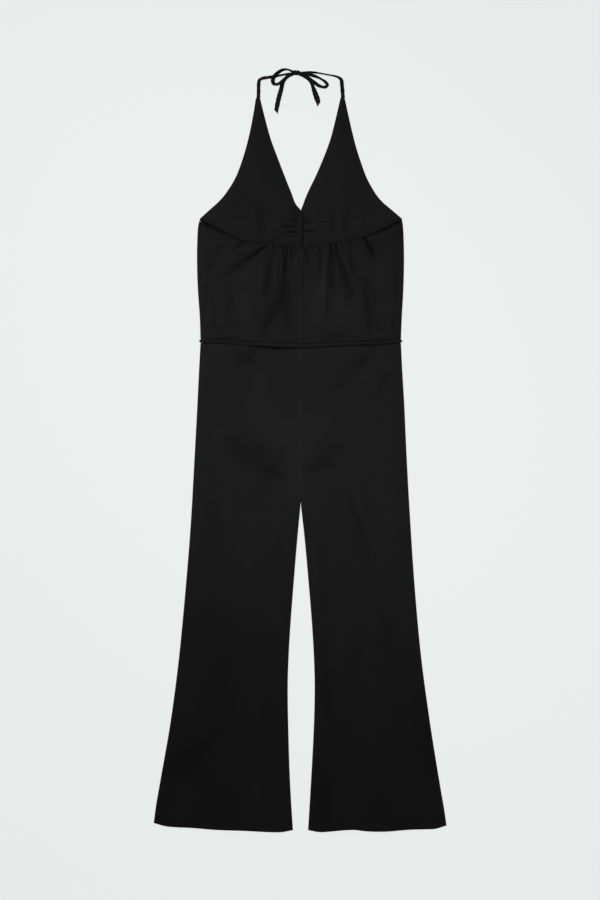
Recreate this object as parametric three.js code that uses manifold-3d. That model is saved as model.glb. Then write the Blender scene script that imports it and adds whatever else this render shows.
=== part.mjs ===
// A halter-neck jumpsuit with flared legs, laid flat and face up, its neck ties in a bow.
// X runs across it with the wearer's left at +X, Y runs from the hems to the neck, and Z is up from the
// surface that it lies on. Sizes are in millimetres.
import * as THREE from "three";
import { mergeVertices } from "three/addons/utils/BufferGeometryUtils.js";
import Module from "manifold-3d";

const wasm = await Module();
wasm.setup();

// Driving sizes
const CLOTH = 1.2; // one layer
const GAP = 0.3; // air between two pieces, at a seam or one above the other
const CURVE_GAP = 0.45; // the same along a curved seam, where the two pieces' columns differ
const TIP_Y = 770; // where a cup ends and its neck tie starts
const HEM_Y = -770; // the lowest point of the hems
const V_POINT_Y = 533;
const CROTCH_Y = -76;
const CORNER_Y = 513; // where armhole, side seam and underbust seam meet
const BELT_HALF = 4; // half the width of the belt
const BELT_RISE = 1.3; // how far the belt stands above the cloth beside it
const BELT_END = 2; // how far the belt stands out past each side seam
const TIE_THICK = 1.5;
const ALLOWANCE_BUST = 15; // width of the pressed seam allowance beside the centre seam, at the bust
const ALLOWANCE_BELOW = 10; // and below it
const ALLOWANCE_RAISE = 0.5;

const FRONT_LOW = CLOTH + GAP; // underside of a front panel where it touches the back
const UNDER_SHARE = 0.68; // share of a fold's height that its underside follows
const MOST_RELIEF = 5;

// Outlines, seen from above; right and left are the wearer's
const SIDE = [
  { y: 513, right: -211, left: 213.5 },
  { y: 500, right: -214, left: 215.5 },
  { y: 467, right: -215.7, left: 217 },
  { y: 416, right: -216, left: 217.4 },
  { y: 366, right: -214.2, left: 216 },
  { y: 316, right: -210.6, left: 213.2 },
  { y: 260, right: -208.8, left: 211 },
  { y: 202, right: -211.7, left: 213.6 },
  { y: 135, right: -215, left: 217.6 },
  { y: 0, right: -222.2, left: 223.9 },
  { y: -134, right: -230, left: 231.6 },
  { y: -268, right: -240.9, left: 240.9 },
  { y: -403, right: -253.9, left: 253.5 },
  { y: -537, right: -271.3, left: 271.5 },
  { y: -671, right: -294.5, left: 292.8 },
  { y: -738, right: -306, left: 304.6 },
  { y: -751, right: -307, left: 306.4 },
  { y: -770, right: -307, left: 307 },
];
const INSEAM = [
  { y: -76, half: 0.15 },
  { y: -134, half: 6.2 },
  { y: -201, half: 12.3 },
  { y: -335, half: 23.1 },
  { y: -403, half: 27 },
  { y: -470, half: 28.9 },
  { y: -537, half: 27.7 },
  { y: -604, half: 25.3 },
  { y: -671, half: 22.2 },
  { y: -770, half: 16.2 },
];
const CENTRE = [
  { y: 533, x: 2.6 },
  { y: 527, x: 5.6 },
  { y: 518, x: 6.4 },
  { y: 490, x: 6.4 },
  { y: 454, x: 5.4 },
  { y: 250, x: 6 },
  { y: 60, x: 5.4 },
  { y: -30, x: 3.6 },
  { y: -76, x: 1.2 },
  { y: -134, x: 1.6 },
  { y: -335, x: 2.2 },
  { y: -537, x: 1.9 },
  { y: -670, x: 0.6 },
  { y: -770, x: 0.7 },
];
const NECKLINE = [
  { y: 770, right: -84.6, left: 85 },
  { y: 740, right: -77.1, left: 77.9 },
  { y: 702, right: -67.8, left: 69.1 },
  { y: 668, right: -56.5, left: 58.6 },
  { y: 635, right: -43.9, left: 45.4 },
  { y: 601, right: -30.9, left: 30.5 },
  { y: 568, right: -17.6, left: 14.5 },
  { y: 551, right: -10.6, left: 7.6 },
  { y: 541, right: -7, left: 5.7 },
  { y: 536, right: -3.4, left: 4.4 },
  { y: 533, right: 2.45, left: 2.75 },
];
const ARMHOLE = [
  { y: 770, right: -92.6, left: 93 },
  { y: 740, right: -97.4, left: 99.5 },
  { y: 702, right: -104.6, left: 108.2 },
  { y: 668, right: -112.8, left: 116.8 },
  { y: 635, right: -122.9, left: 127.3 },
  { y: 601, right: -136.5, left: 140.1 },
  { y: 568, right: -157.3, left: 159 },
  { y: 551, right: -172.6, left: 173.5 },
  { y: 534, right: -191.5, left: 193.4 },
  { y: 517, right: -209.5, left: 212.6 },
  { y: 513, right: -211, left: 213.5 },
];
const UNDERBUST = [
  { x: -216, y: 514 },
  { x: -190, y: 500.4 },
  { x: -167, y: 489.9 },
  { x: -137.6, y: 475.2 },
  { x: -120.8, y: 467.9 },
  { x: -74.6, y: 461.6 },
  { x: -22, y: 457.4 },
  { x: 5, y: 454.2 },
  { x: 41, y: 457.4 },
  { x: 93.5, y: 467.9 },
  { x: 129, y: 476.3 },
  { x: 158.6, y: 485.7 },
  { x: 183.8, y: 497.3 },
  { x: 218, y: 515 },
];
const BELT = [
  { x: -215, y: 260.4 },
  { x: -158.6, y: 258.4 },
  { x: -80.9, y: 252.6 },
  { x: -32.6, y: 250 },
  { x: 0, y: 249.4 },
  { x: 30.5, y: 250.2 },
  { x: 93.5, y: 253.4 },
  { x: 167, y: 256 },
  { x: 215, y: 260.4 },
];
// How far a hem rises above the lowest point, from the inseam (across 0) to the side seam (across 1)
const HEM = [
  { across: 0, right: 4, left: 4 },
  { across: 0.08, right: 0, left: 0 },
  { across: 0.2, right: 0.3, left: 2.1 },
  { across: 0.31, right: 2.1, left: 4.8 },
  { across: 0.4, right: 3, left: 2.1 },
  { across: 0.5, right: 3.9, left: 0.8 },
  { across: 0.63, right: 6.2, left: 2.1 },
  { across: 0.7, right: 8.4, left: 4.6 },
  { across: 0.85, right: 10.6, left: 6.1 },
  { across: 0.95, right: 14, left: 8 },
  { across: 1, right: 18.9, left: 13.6 },
];

// Gathers: creases that start at a seam, deepest there, and run out into the cloth
const UNDERBUST_GATHERS = [
  { x0: -139, y0: 468, x1: -161, y1: 476, wide: 2.4, deep: 0.8 },
  { x0: -121, y0: 466, x1: -142, y1: 443, wide: 2.6, deep: 1.5 },
  { x0: -109, y0: 464, x1: -111, y1: 452, wide: 1.9, deep: 0.8 },
  { x0: -94.5, y0: 462, x1: -95.5, y1: 443, wide: 2, deep: 1.2 },
  { x0: -83, y0: 461, x1: -84, y1: 447, wide: 1.9, deep: 0.8 },
  { x0: -73, y0: 460, x1: -163, y1: 390, wide: 4.6, deep: 2.3 },
  { x0: -65, y0: 459, x1: -66, y1: 446, wide: 1.9, deep: 0.9 },
  { x0: -56, y0: 458, x1: -57, y1: 441, wide: 2, deep: 1.2 },
  { x0: -49, y0: 458, x1: -49, y1: 439, wide: 2, deep: 1.3 },
  { x0: -36, y0: 457, x1: -33, y1: 428, wide: 2.5, deep: 1.7 },
  { x0: -26.3, y0: 456, x1: -33, y1: 403, wide: 3.2, deep: 2.6 },
  { x0: -17.6, y0: 455, x1: -20, y1: 429, wide: 2.3, deep: 1.5 },
  { x0: -5.3, y0: 454, x1: -9.5, y1: 428, wide: 2.4, deep: 1.5 },
  { x0: 11.2, y0: 454, x1: 17.2, y1: 415, wide: 2.7, deep: 1.8 },
  { x0: 18, y0: 455, x1: 17.5, y1: 437, wide: 2, deep: 1.2 },
  { x0: 29, y0: 456, x1: 29.4, y1: 444, wide: 2.2, deep: 0.9 },
  { x0: 40.3, y0: 457, x1: 47, y1: 422, wide: 2.6, deep: 1.7 },
  { x0: 55, y0: 459, x1: 56, y1: 446, wide: 2, deep: 0.8 },
  { x0: 68, y0: 461, x1: 79, y1: 424, wide: 4, deep: 2.3 },
  { x0: 78, y0: 463, x1: 88, y1: 433, wide: 2.4, deep: 1.4 },
  { x0: 90, y0: 466, x1: 91, y1: 450, wide: 1.9, deep: 0.9 },
  { x0: 99, y0: 468, x1: 99.5, y1: 452, wide: 2, deep: 1.2 },
  { x0: 106.5, y0: 469, x1: 110, y1: 438, wide: 2.3, deep: 1.4 },
  { x0: 116, y0: 471, x1: 117, y1: 455, wide: 2, deep: 0.9 },
  { x0: 123.7, y0: 474, x1: 131, y1: 453, wide: 2.2, deep: 1.2 },
  { x0: 136, y0: 477, x1: 156, y1: 434, wide: 3, deep: 2.4 },
];
const CENTRE_GATHERS = [
  { x0: -8, y0: 515, x1: -26, y1: 533, wide: 2.5, deep: 1.3 },
  { x0: -8, y0: 507, x1: -30, y1: 517, wide: 2.3, deep: 1.4 },
  { x0: -8, y0: 499, x1: -42, y1: 501, wide: 2.7, deep: 2 },
  { x0: -8, y0: 492, x1: -40, y1: 490, wide: 2.2, deep: 1 },
  { x0: -8, y0: 485, x1: -33, y1: 485, wide: 2.4, deep: 1.6 },
  { x0: -10, y0: 477, x1: -62, y1: 463, wide: 3.4, deep: 1.2 },
  { x0: 6, y0: 516, x1: 22, y1: 515, wide: 2.2, deep: 1.2 },
  { x0: 6, y0: 506, x1: 38, y1: 510, wide: 2.8, deep: 2.1 },
  { x0: 6, y0: 497, x1: 28, y1: 501, wide: 2.1, deep: 0.9 },
  { x0: 6, y0: 489, x1: 34, y1: 486, wide: 2.5, deep: 1.6 },
  { x0: 6, y0: 479, x1: 26, y1: 474, wide: 2.3, deep: 1 },
];
// Soft folds that fade at both ends: a ridge is above 0 and a trough below
const MIDRIFF_FOLDS = [
  { x0: -58, y0: 440, x1: -71, y1: 338, wide: 8, high: -1.3 },
  { x0: -35, y0: 410, x1: -38, y1: 330, wide: 9, high: -1.3 },
  { x0: -38, y0: 348, x1: -82, y1: 266, wide: 11, high: -1.2 },
  { x0: 46, y0: 436, x1: 39, y1: 393, wide: 4, high: -1 },
  { x0: 78, y0: 430, x1: 107, y1: 370, wide: 8, high: -1.4 },
  { x0: 102, y0: 440, x1: 122, y1: 386, wide: 4, high: -1.2 },
  { x0: 141, y0: 392, x1: 160, y1: 338, wide: 8, high: -1 },
  { x0: 158, y0: 345, x1: 150, y1: 276, wide: 8, high: -0.8 },
  { x0: 196, y0: 310, x1: 194, y1: 268, wide: 4, high: -0.8 },
  { x0: -176, y0: 446, x1: -197, y1: 372, wide: 4, high: -0.7 },
  { x0: -160, y0: 392, x1: -137, y1: 320, wide: 8, high: -0.8 },
  { x0: -178, y0: 288, x1: -140, y1: 262, wide: 4, high: -1.1 },
  { x0: -84, y0: 456, x1: -160, y1: 408, wide: 8, high: 1.1 },
  { x0: -100, y0: 424, x1: -158, y1: 368, wide: 9, high: 0.8 },
  { x0: -75, y0: 436, x1: -84, y1: 372, wide: 6, high: 0.7 },
  { x0: 52, y0: 444, x1: 51, y1: 330, wide: 7, high: 1.5 },
  { x0: 86, y0: 455, x1: 126, y1: 366, wide: 4, high: 1.5 },
  { x0: -10, y0: 420, x1: -4, y1: 300, wide: 14, high: 0.6 },
  { x0: -168, y0: 276, x1: -92, y1: 260, wide: 7, high: 1.5 },
  { x0: 24, y0: 300, x1: 88, y1: 270, wide: 12, high: 0.7 },
];
const CUP_FOLDS = [
  { x0: -86, y0: 524, x1: -68, y1: 478, wide: 9, high: -0.8 },
  { x0: -60, y0: 508, x1: -44, y1: 480, wide: 9, high: 0.7 },
  { x0: 64, y0: 512, x1: 65, y1: 470, wide: 7, high: -0.6 },
  { x0: 103, y0: 526, x1: 98, y1: 478, wide: 6, high: -0.7 },
  { x0: 134, y0: 522, x1: 132, y1: 490, wide: 8, high: -0.6 },
  { x0: 37, y0: 521, x1: 74, y1: 520, wide: 4, high: -0.7 },
  { x0: 34, y0: 513, x1: 72, y1: 514, wide: 3.5, high: 0.6 },
  { x0: 26, y0: 506, x1: 72, y1: 506, wide: 3.5, high: -0.5 },
];
const TROUSER_FOLDS = [
  { x0: -80, y0: 246, x1: -122, y1: 206, wide: 11, high: -1.2 },
  { x0: 166, y0: 246, x1: 108, y1: 206, wide: 10, high: -1 },
  { x0: 112, y0: 212, x1: 70, y1: 154, wide: 9, high: -1 },
  { x0: 198, y0: 216, x1: 156, y1: 134, wide: 9, high: -0.7 },
  { x0: 178, y0: 228, x1: 122, y1: 160, wide: 10, high: 0.7 },
  { x0: -150, y0: 52, x1: -66, y1: -18, wide: 14, high: -1.1 },
  { x0: -74, y0: -8, x1: -30, y1: -30, wide: 12, high: -0.8 },
  { x0: 90, y0: 42, x1: 12, y1: -24, wide: 13, high: -1 },
  { x0: -92, y0: 118, x1: -32, y1: 78, wide: 8, high: -0.7 },
  { x0: -108, y0: 132, x1: -32, y1: 34, wide: 18, high: 0.8 },
  { x0: 22, y0: 96, x1: 16, y1: 0, wide: 16, high: 0.8 },
  { x0: 110, y0: -66, x1: 156, y1: -180, wide: 6, high: 1 },
  { x0: 98, y0: -60, x1: 140, y1: -172, wide: 8, high: -0.8 },
  { x0: 122, y0: -140, x1: 154, y1: -246, wide: 11, high: -0.8 },
  { x0: -170, y0: -80, x1: -184, y1: -220, wide: 18, high: -0.6 },
  { x0: -96, y0: -110, x1: -120, y1: -330, wide: 20, high: 0.6 },
  { x0: -182, y0: -566, x1: -284, y1: -664, wide: 15, high: -1.1 },
  { x0: -152, y0: -360, x1: -156, y1: -480, wide: 9, high: -0.5 },
  { x0: -84, y0: -370, x1: -88, y1: -470, wide: 8, high: -0.5 },
  { x0: 184, y0: -366, x1: 214, y1: -540, wide: 11, high: -0.8 },
  { x0: 252, y0: -580, x1: 272, y1: -684, wide: 9, high: -0.8 },
  { x0: 108, y0: -640, x1: 110, y1: -800, wide: 17, high: 1.3 },
  { x0: 166, y0: -660, x1: 168, y1: -800, wide: 15, high: -0.8 },
  { x0: -66, y0: -650, x1: -64, y1: -800, wide: 18, high: 0.9 },
  { x0: -190, y0: -660, x1: -196, y1: -800, wide: 20, high: 0.8 },
];

const clamp = (value, low, high) => Math.min(high, Math.max(low, value));
const mix = (a, b, share) => a + (b - a) * share;

// A smooth line through a table's rows: the named column against the key column
function lineThrough(table, key, column) {
  const rows = [...table].sort((a, b) => a[key] - b[key]);
  const slope = (i) => {
    const before = rows[Math.max(i - 1, 0)];
    const after = rows[Math.min(i + 1, rows.length - 1)];
    return (after[column] - before[column]) / (after[key] - before[key]);
  };
  return (at) => {
    const place = clamp(at, rows[0][key], rows[rows.length - 1][key]);
    let i = 0;
    while (i < rows.length - 2 && rows[i + 1][key] < place) i++;
    const span = rows[i + 1][key] - rows[i][key];
    const t = (place - rows[i][key]) / span;
    const t2 = t * t;
    const t3 = t2 * t;
    return (
      (2 * t3 - 3 * t2 + 1) * rows[i][column] +
      (t3 - 2 * t2 + t) * span * slope(i) +
      (3 * t2 - 2 * t3) * rows[i + 1][column] +
      (t3 - t2) * span * slope(i + 1)
    );
  };
}

const inseamHalf = lineThrough(INSEAM, "y", "half");
const centreX = lineThrough(CENTRE, "y", "x");
const underbustY = lineThrough(UNDERBUST, "x", "y");
const beltY = lineThrough(BELT, "x", "y");
const sideX = {};
const neckX = {};
const armX = {};
const hemRise = {};
for (const side of ["right", "left"]) {
  sideX[side] = lineThrough(SIDE, "y", side);
  neckX[side] = lineThrough(NECKLINE, "y", side);
  armX[side] = lineThrough(ARMHOLE, "y", side);
  hemRise[side] = lineThrough(HEM, "across", side);
}
const outward = { right: -1, left: 1 };

// The inner edge of a half of the body: beside the centre seam, and along the inseam below the crotch
function innerX(side, y) {
  const half = y > CROTCH_Y ? GAP / 2 : inseamHalf(y);
  return centreX(y) + outward[side] * half;
}

// The back's top edge, hidden behind the cups
const BACK_TOP_Y = 486;
const BACK_TOP_RISE = 25; // from the centre back to the side seams
const BACK_HALF = 212;
const backTopY = (x) => BACK_TOP_Y + BACK_TOP_RISE * (x / BACK_HALF) ** 2;

// 0 at an edge, rising to 1 at a distance from it
const puff = (distance, reach) => 1 - (1 - clamp(distance / reach, 0, 1)) ** 2;

// How high the listed folds lift the cloth at a point; gathers are creases, full at their first end
function foldHeight(folds, gathers, x, y) {
  let height = 0;
  const nearest = (fold) => {
    const dx = fold.x1 - fold.x0;
    const dy = fold.y1 - fold.y0;
    const along = clamp(
      ((x - fold.x0) * dx + (y - fold.y0) * dy) / (dx * dx + dy * dy),
      0,
      1,
    );
    const away = Math.hypot(x - fold.x0 - along * dx, y - fold.y0 - along * dy);
    return { along, away };
  };
  for (const fold of folds) {
    const { along, away } = nearest(fold);
    const fade = Math.sin(Math.PI * along) ** 0.6;
    height += fold.high * fade * Math.exp(-((away / fold.wide) ** 2));
  }
  for (const crease of gathers) {
    const { along, away } = nearest(crease);
    const wide = crease.wide * (1 + 0.7 * along);
    height -= crease.deep * (1 - along ** 2) * Math.exp(-((away / wide) ** 2));
  }
  return height;
}

// 1 on the pressed seam allowance, a strip on the wearer's right of the centre seam, and 0 off it
function onAllowance(side, x, y) {
  if (side === "left") return 0;
  const bust = clamp((y - 440) / 20, 0, 1);
  const width = mix(ALLOWANCE_BELOW, ALLOWANCE_BUST, bust);
  return clamp(width - (centreX(y) - x) + 0.5, 0, 1);
}

// A closed wall over a grid: surface(u, v) gives a plan point and its lowest and highest z
function wall(us, vs, surface) {
  const positions = [];
  const index = [];
  const columns = us.length;
  const layer = columns * vs.length;
  for (const level of ["low", "high"])
    for (const v of vs)
      for (const u of us) {
        const point = surface(u, v);
        positions.push(point.x, point.y, point[level]);
      }
  const quad = (a, b, c, d) => index.push(a, b, c, a, c, d);
  for (let j = 0; j < vs.length - 1; j++)
    for (let i = 0; i < columns - 1; i++) {
      const a = j * columns + i;
      const b = a + 1;
      const c = b + columns;
      const d = a + columns;
      quad(a, b, c, d);
      quad(a + layer, d + layer, c + layer, b + layer);
    }
  const rim = [];
  for (let i = 0; i < columns - 1; i++) rim.push(i);
  for (let j = 0; j < vs.length - 1; j++) rim.push(j * columns + columns - 1);
  for (let i = columns - 1; i > 0; i--) rim.push((vs.length - 1) * columns + i);
  for (let j = vs.length - 1; j > 0; j--) rim.push(j * columns);
  rim.forEach((a, i) => {
    const b = rim[(i + 1) % rim.length];
    quad(a, a + layer, b + layer, b);
  });
  return facingOut(positions, index);
}

// Turns every face round if the closed surface encloses a negative volume
function facingOut(positions, index) {
  let volume = 0;
  const corner = (i) => new THREE.Vector3().fromArray(positions, index[i] * 3);
  for (let i = 0; i < index.length; i += 3)
    volume += corner(i).dot(corner(i + 1).cross(corner(i + 2)));
  if (volume < 0)
    for (let i = 0; i < index.length; i += 3)
      [index[i + 1], index[i + 2]] = [index[i + 2], index[i + 1]];
  const geometry = new THREE.BufferGeometry();
  geometry.setAttribute("position", new THREE.Float32BufferAttribute(positions, 3));
  geometry.setIndex(index);
  return geometry;
}

const steps = (count) => Array.from({ length: count + 1 }, (_, i) => i / count);

// Places from 0 to 1 with a fine pitch up to a break and a coarse one past it
function fineThenCoarse(breakAt, fineCount, coarseCount) {
  const fine = steps(fineCount).map((t) => t * breakAt);
  const coarse = steps(coarseCount).map((t) => mix(breakAt, 1, t));
  return [...fine, ...coarse.slice(1)];
}

// A plan point of a half panel between its centre and side lines and its top and bottom lines
function planPoint(side, u, v, topY, bottomY) {
  let x = mix(innerX(side, 0), sideX[side](0), u);
  let y = 0;
  for (let pass = 0; pass < 6; pass++) {
    y = mix(topY(x, u), bottomY(x, u), v);
    x = mix(innerX(side, y), sideX[side](y), u);
  }
  return { x, y };
}

const layers = (low, relief) => {
  const lift = clamp(relief, 0, MOST_RELIEF);
  return { low: low + UNDER_SHARE * lift, high: low + CLOTH + lift };
};

// Front of the body between the underbust seam and the belt, gathered into the seam. Each share is the
// part of the loft that is left at an edge, and each reach is how far from there the loft is full
const MIDRIFF_LOFT = {
  full: 3,
  seamShare: 0.45,
  seamReach: 16,
  beltShare: 0.4,
  beltReach: 26,
  centreShare: 0.75,
  centreReach: 6,
  sideReach: 30,
};
const GATHERED_SHARE = 0.74; // the part of a midriff's width, from the centre, that has the gathers
function midriffFront(side) {
  const top = (x) => underbustY(x) - GAP / 2;
  const bottom = (x) => beltY(x) + BELT_HALF + CURVE_GAP;
  const rows = [0, 0.012, 0.035, 0.07, 0.115, 0.18, 0.27, 0.4, 0.57, 0.75, 0.9, 1];
  const { full, seamShare, seamReach, beltShare, beltReach } = MIDRIFF_LOFT;
  const { centreShare, centreReach, sideReach } = MIDRIFF_LOFT;
  return wall(fineThenCoarse(GATHERED_SHARE, 48, 6), rows, (u, v) => {
    const { x, y } = planPoint(side, u, v, top, bottom);
    const loft =
      full *
      mix(seamShare, 1, puff(top(x) - y, seamReach)) *
      mix(beltShare, 1, puff(y - bottom(x), beltReach)) *
      mix(centreShare, 1, puff(Math.abs(x - centreX(y)), centreReach)) *
      puff(Math.abs(sideX[side](y) - x), sideReach);
    const folds = foldHeight(MIDRIFF_FOLDS, UNDERBUST_GATHERS, x, y) * clamp(loft, 0, 1);
    const relief = loft + folds + ALLOWANCE_RAISE * onAllowance(side, x, y);
    return { x, y, ...layers(FRONT_LOW, relief) };
  });
}

// Front of one leg with its half of the seat
const LEG_LOFT = {
  full: 2,
  beltShare: 0.3,
  beltReach: 22,
  centreShare: 0.7,
  centreReach: 7,
  inseamShare: 0.1,
  inseamReach: 24,
  sideReach: 34,
  crotchBlend: 60,
};
function trouserFront(side) {
  const top = (x) => beltY(x) - BELT_HALF - CURVE_GAP;
  const hem = (x, u) => HEM_Y + hemRise[side](u);
  const { full, beltShare, beltReach, centreShare, centreReach } = LEG_LOFT;
  const { inseamShare, inseamReach, sideReach, crotchBlend } = LEG_LOFT;
  return wall(steps(12), steps(26), (u, v) => {
    const { x, y } = planPoint(side, u, v, top, hem);
    const below = clamp((CROTCH_Y - y) / crotchBlend, 0, 1);
    const innerShare = mix(centreShare, inseamShare, below);
    const innerReach = mix(centreReach, inseamReach, below);
    const loft =
      full *
      mix(beltShare, 1, puff(top(x) - y, beltReach)) *
      mix(innerShare, 1, puff(Math.abs(x - innerX(side, y)), innerReach)) *
      puff(Math.abs(sideX[side](y) - x), sideReach);
    const folds = foldHeight(TROUSER_FOLDS, [], x, y) * clamp(loft, 0, 1);
    const strip = y > CROTCH_Y ? ALLOWANCE_RAISE * onAllowance(side, x, y) : 0;
    const relief = loft + folds + strip;
    return { x, y, ...layers(FRONT_LOW, relief) };
  });
}

// The back lies flat on the surface, under the front
function bodiceBack(side) {
  const bottom = (x) => beltY(x) + BELT_HALF + CURVE_GAP;
  return wall(steps(8), steps(5), (u, v) => {
    const { x, y } = planPoint(side, u, v, backTopY, bottom);
    return { x, y, low: 0, high: CLOTH };
  });
}

function trouserBack(side) {
  const top = (x) => beltY(x) - BELT_HALF - CURVE_GAP;
  const hem = (x, u) => HEM_Y + hemRise[side](u);
  return wall(steps(9), steps(16), (u, v) => {
    const { x, y } = planPoint(side, u, v, top, hem);
    return { x, y, low: 0, high: CLOTH };
  });
}

// A cup lies on the back's top edge and, above that, on the surface
const STEP_START = 8; // from the back's edge to where the cup starts down to the surface
const STEP_LENGTH = 16;
function cupLow(x, y) {
  const down = clamp((y - backTopY(x) - STEP_START) / STEP_LENGTH, 0, 1);
  return FRONT_LOW * (1 - down * down * (3 - 2 * down));
}

const CUP_LOFT = {
  full: 3.2,
  centreShare: 0.2,
  centreReach: 11,
  footShare: 0.35,
  footReach: 16,
  edgeReach: 34,
};
function cupLift(side, x, y, edgeDistance) {
  const strip = onAllowance(side, x, y);
  const held = side === "right" ? ALLOWANCE_BUST : 0;
  const fromSeam = Math.max(Math.abs(x - centreX(Math.min(y, V_POINT_Y))) - held, 0);
  const { full, centreShare, centreReach, footShare, footReach, edgeReach } = CUP_LOFT;
  const seamed = y < V_POINT_Y ? mix(centreShare, 1, puff(fromSeam, centreReach)) : 1;
  const loft =
    full *
    seamed *
    mix(footShare, 1, puff(y - underbustY(x), footReach)) *
    puff(edgeDistance, edgeReach);
  const folds = foldHeight(CUP_FOLDS, strip > 0 ? [] : CENTRE_GATHERS, x, y);
  return clamp(loft + folds * clamp(loft, 0, 1) + ALLOWANCE_RAISE * strip, 0, MOST_RELIEF);
}

const V_ROW = 0.5; // the share of a cup's rows that lie above the V point
const ARM_AT_V_Y = 574; // the armhole's height on the V point's row
const NECK_HEM = 2; // how far the neckline's turned edge lifts the cup, as a distance in from the edge
function cup(side) {
  const sign = outward[side];
  const foot = (x) => underbustY(x) + CURVE_GAP;
  const inner = (v) => {
    if (v <= V_ROW) {
      const y = mix(TIP_Y, V_POINT_Y, v / V_ROW);
      return { x: neckX[side](y), y };
    }
    const y = mix(V_POINT_Y, foot(centreX(454)), (v - V_ROW) / (1 - V_ROW));
    return { x: centreX(y) + (sign * GAP) / 2, y };
  };
  const outer = (v) => {
    const y =
      v <= V_ROW
        ? mix(TIP_Y, ARM_AT_V_Y, v / V_ROW)
        : mix(ARM_AT_V_Y, CORNER_Y, (v - V_ROW) / (1 - V_ROW));
    return { x: armX[side](y), y };
  };
  const start = inner(1);
  const end = outer(1);
  const seam = (u) => {
    const x = mix(start.x, end.x, u);
    return { x, y: u === 1 ? end.y : foot(x) };
  };
  // A patch with four edges: neckline and centre, armhole, tip, and underbust seam
  const place = (axis, u, v) =>
    mix(inner(v)[axis], outer(v)[axis], u) +
    v * (seam(u)[axis] - mix(start[axis], end[axis], u));
  const us = [0, 0.02, 0.045, 0.07, 0.085, 0.11, 0.15, 0.2, 0.27, 0.38, 0.52, 0.68, 0.84, 1];
  const lower = steps(18).map((t) => mix(V_ROW, 1, t));
  const vs = [0, 0.09, 0.18, 0.27, 0.35, 0.42, 0.47, ...lower];
  return wall(us, vs, (u, v) => {
    const x = place("x", u, v);
    const y = place("y", u, v);
    const across = Math.hypot(outer(v).x - inner(v).x, outer(v).y - inner(v).y);
    const toNeck = v <= V_ROW ? u * across : Math.hypot(u * across, y - V_POINT_Y);
    const toArm = (1 - u) * across;
    const lift = cupLift(side, x, y, Math.min(toNeck + NECK_HEM, toArm));
    const low = cupLow(x, y);
    return { x, y, low: low + UNDER_SHARE * lift, high: low + CLOTH + lift };
  });
}

const END_SHARE = 0.3; // how far the belt narrows at its rounded ends
const END_REACH = 3;
const END_CROWD = 0.4; // how much its columns crowd towards the ends

// The belt lies in the waist seam, front and back, and stands out past the side seams
function belt(low, rise, columns, rows) {
  const right = sideX.right(beltY(-210)) - BELT_END;
  const left = sideX.left(beltY(210)) + BELT_END;
  const across = steps(columns).map((t) => mix(t, (1 - Math.cos(Math.PI * t)) / 2, END_CROWD));
  return wall(across, steps(rows), (u, v) => {
    const x = mix(right, left, u);
    const toEnd = Math.min(x - right, left - x);
    const half = BELT_HALF * Math.sqrt(mix(END_SHARE, 1, clamp(toEnd / END_REACH, 0, 1)));
    const y = beltY(x) + mix(half, -half, v);
    const crown = rise * (1 - (2 * v - 1) ** 2);
    return { x, y, low, high: low + CLOTH + crown };
  });
}

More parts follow.
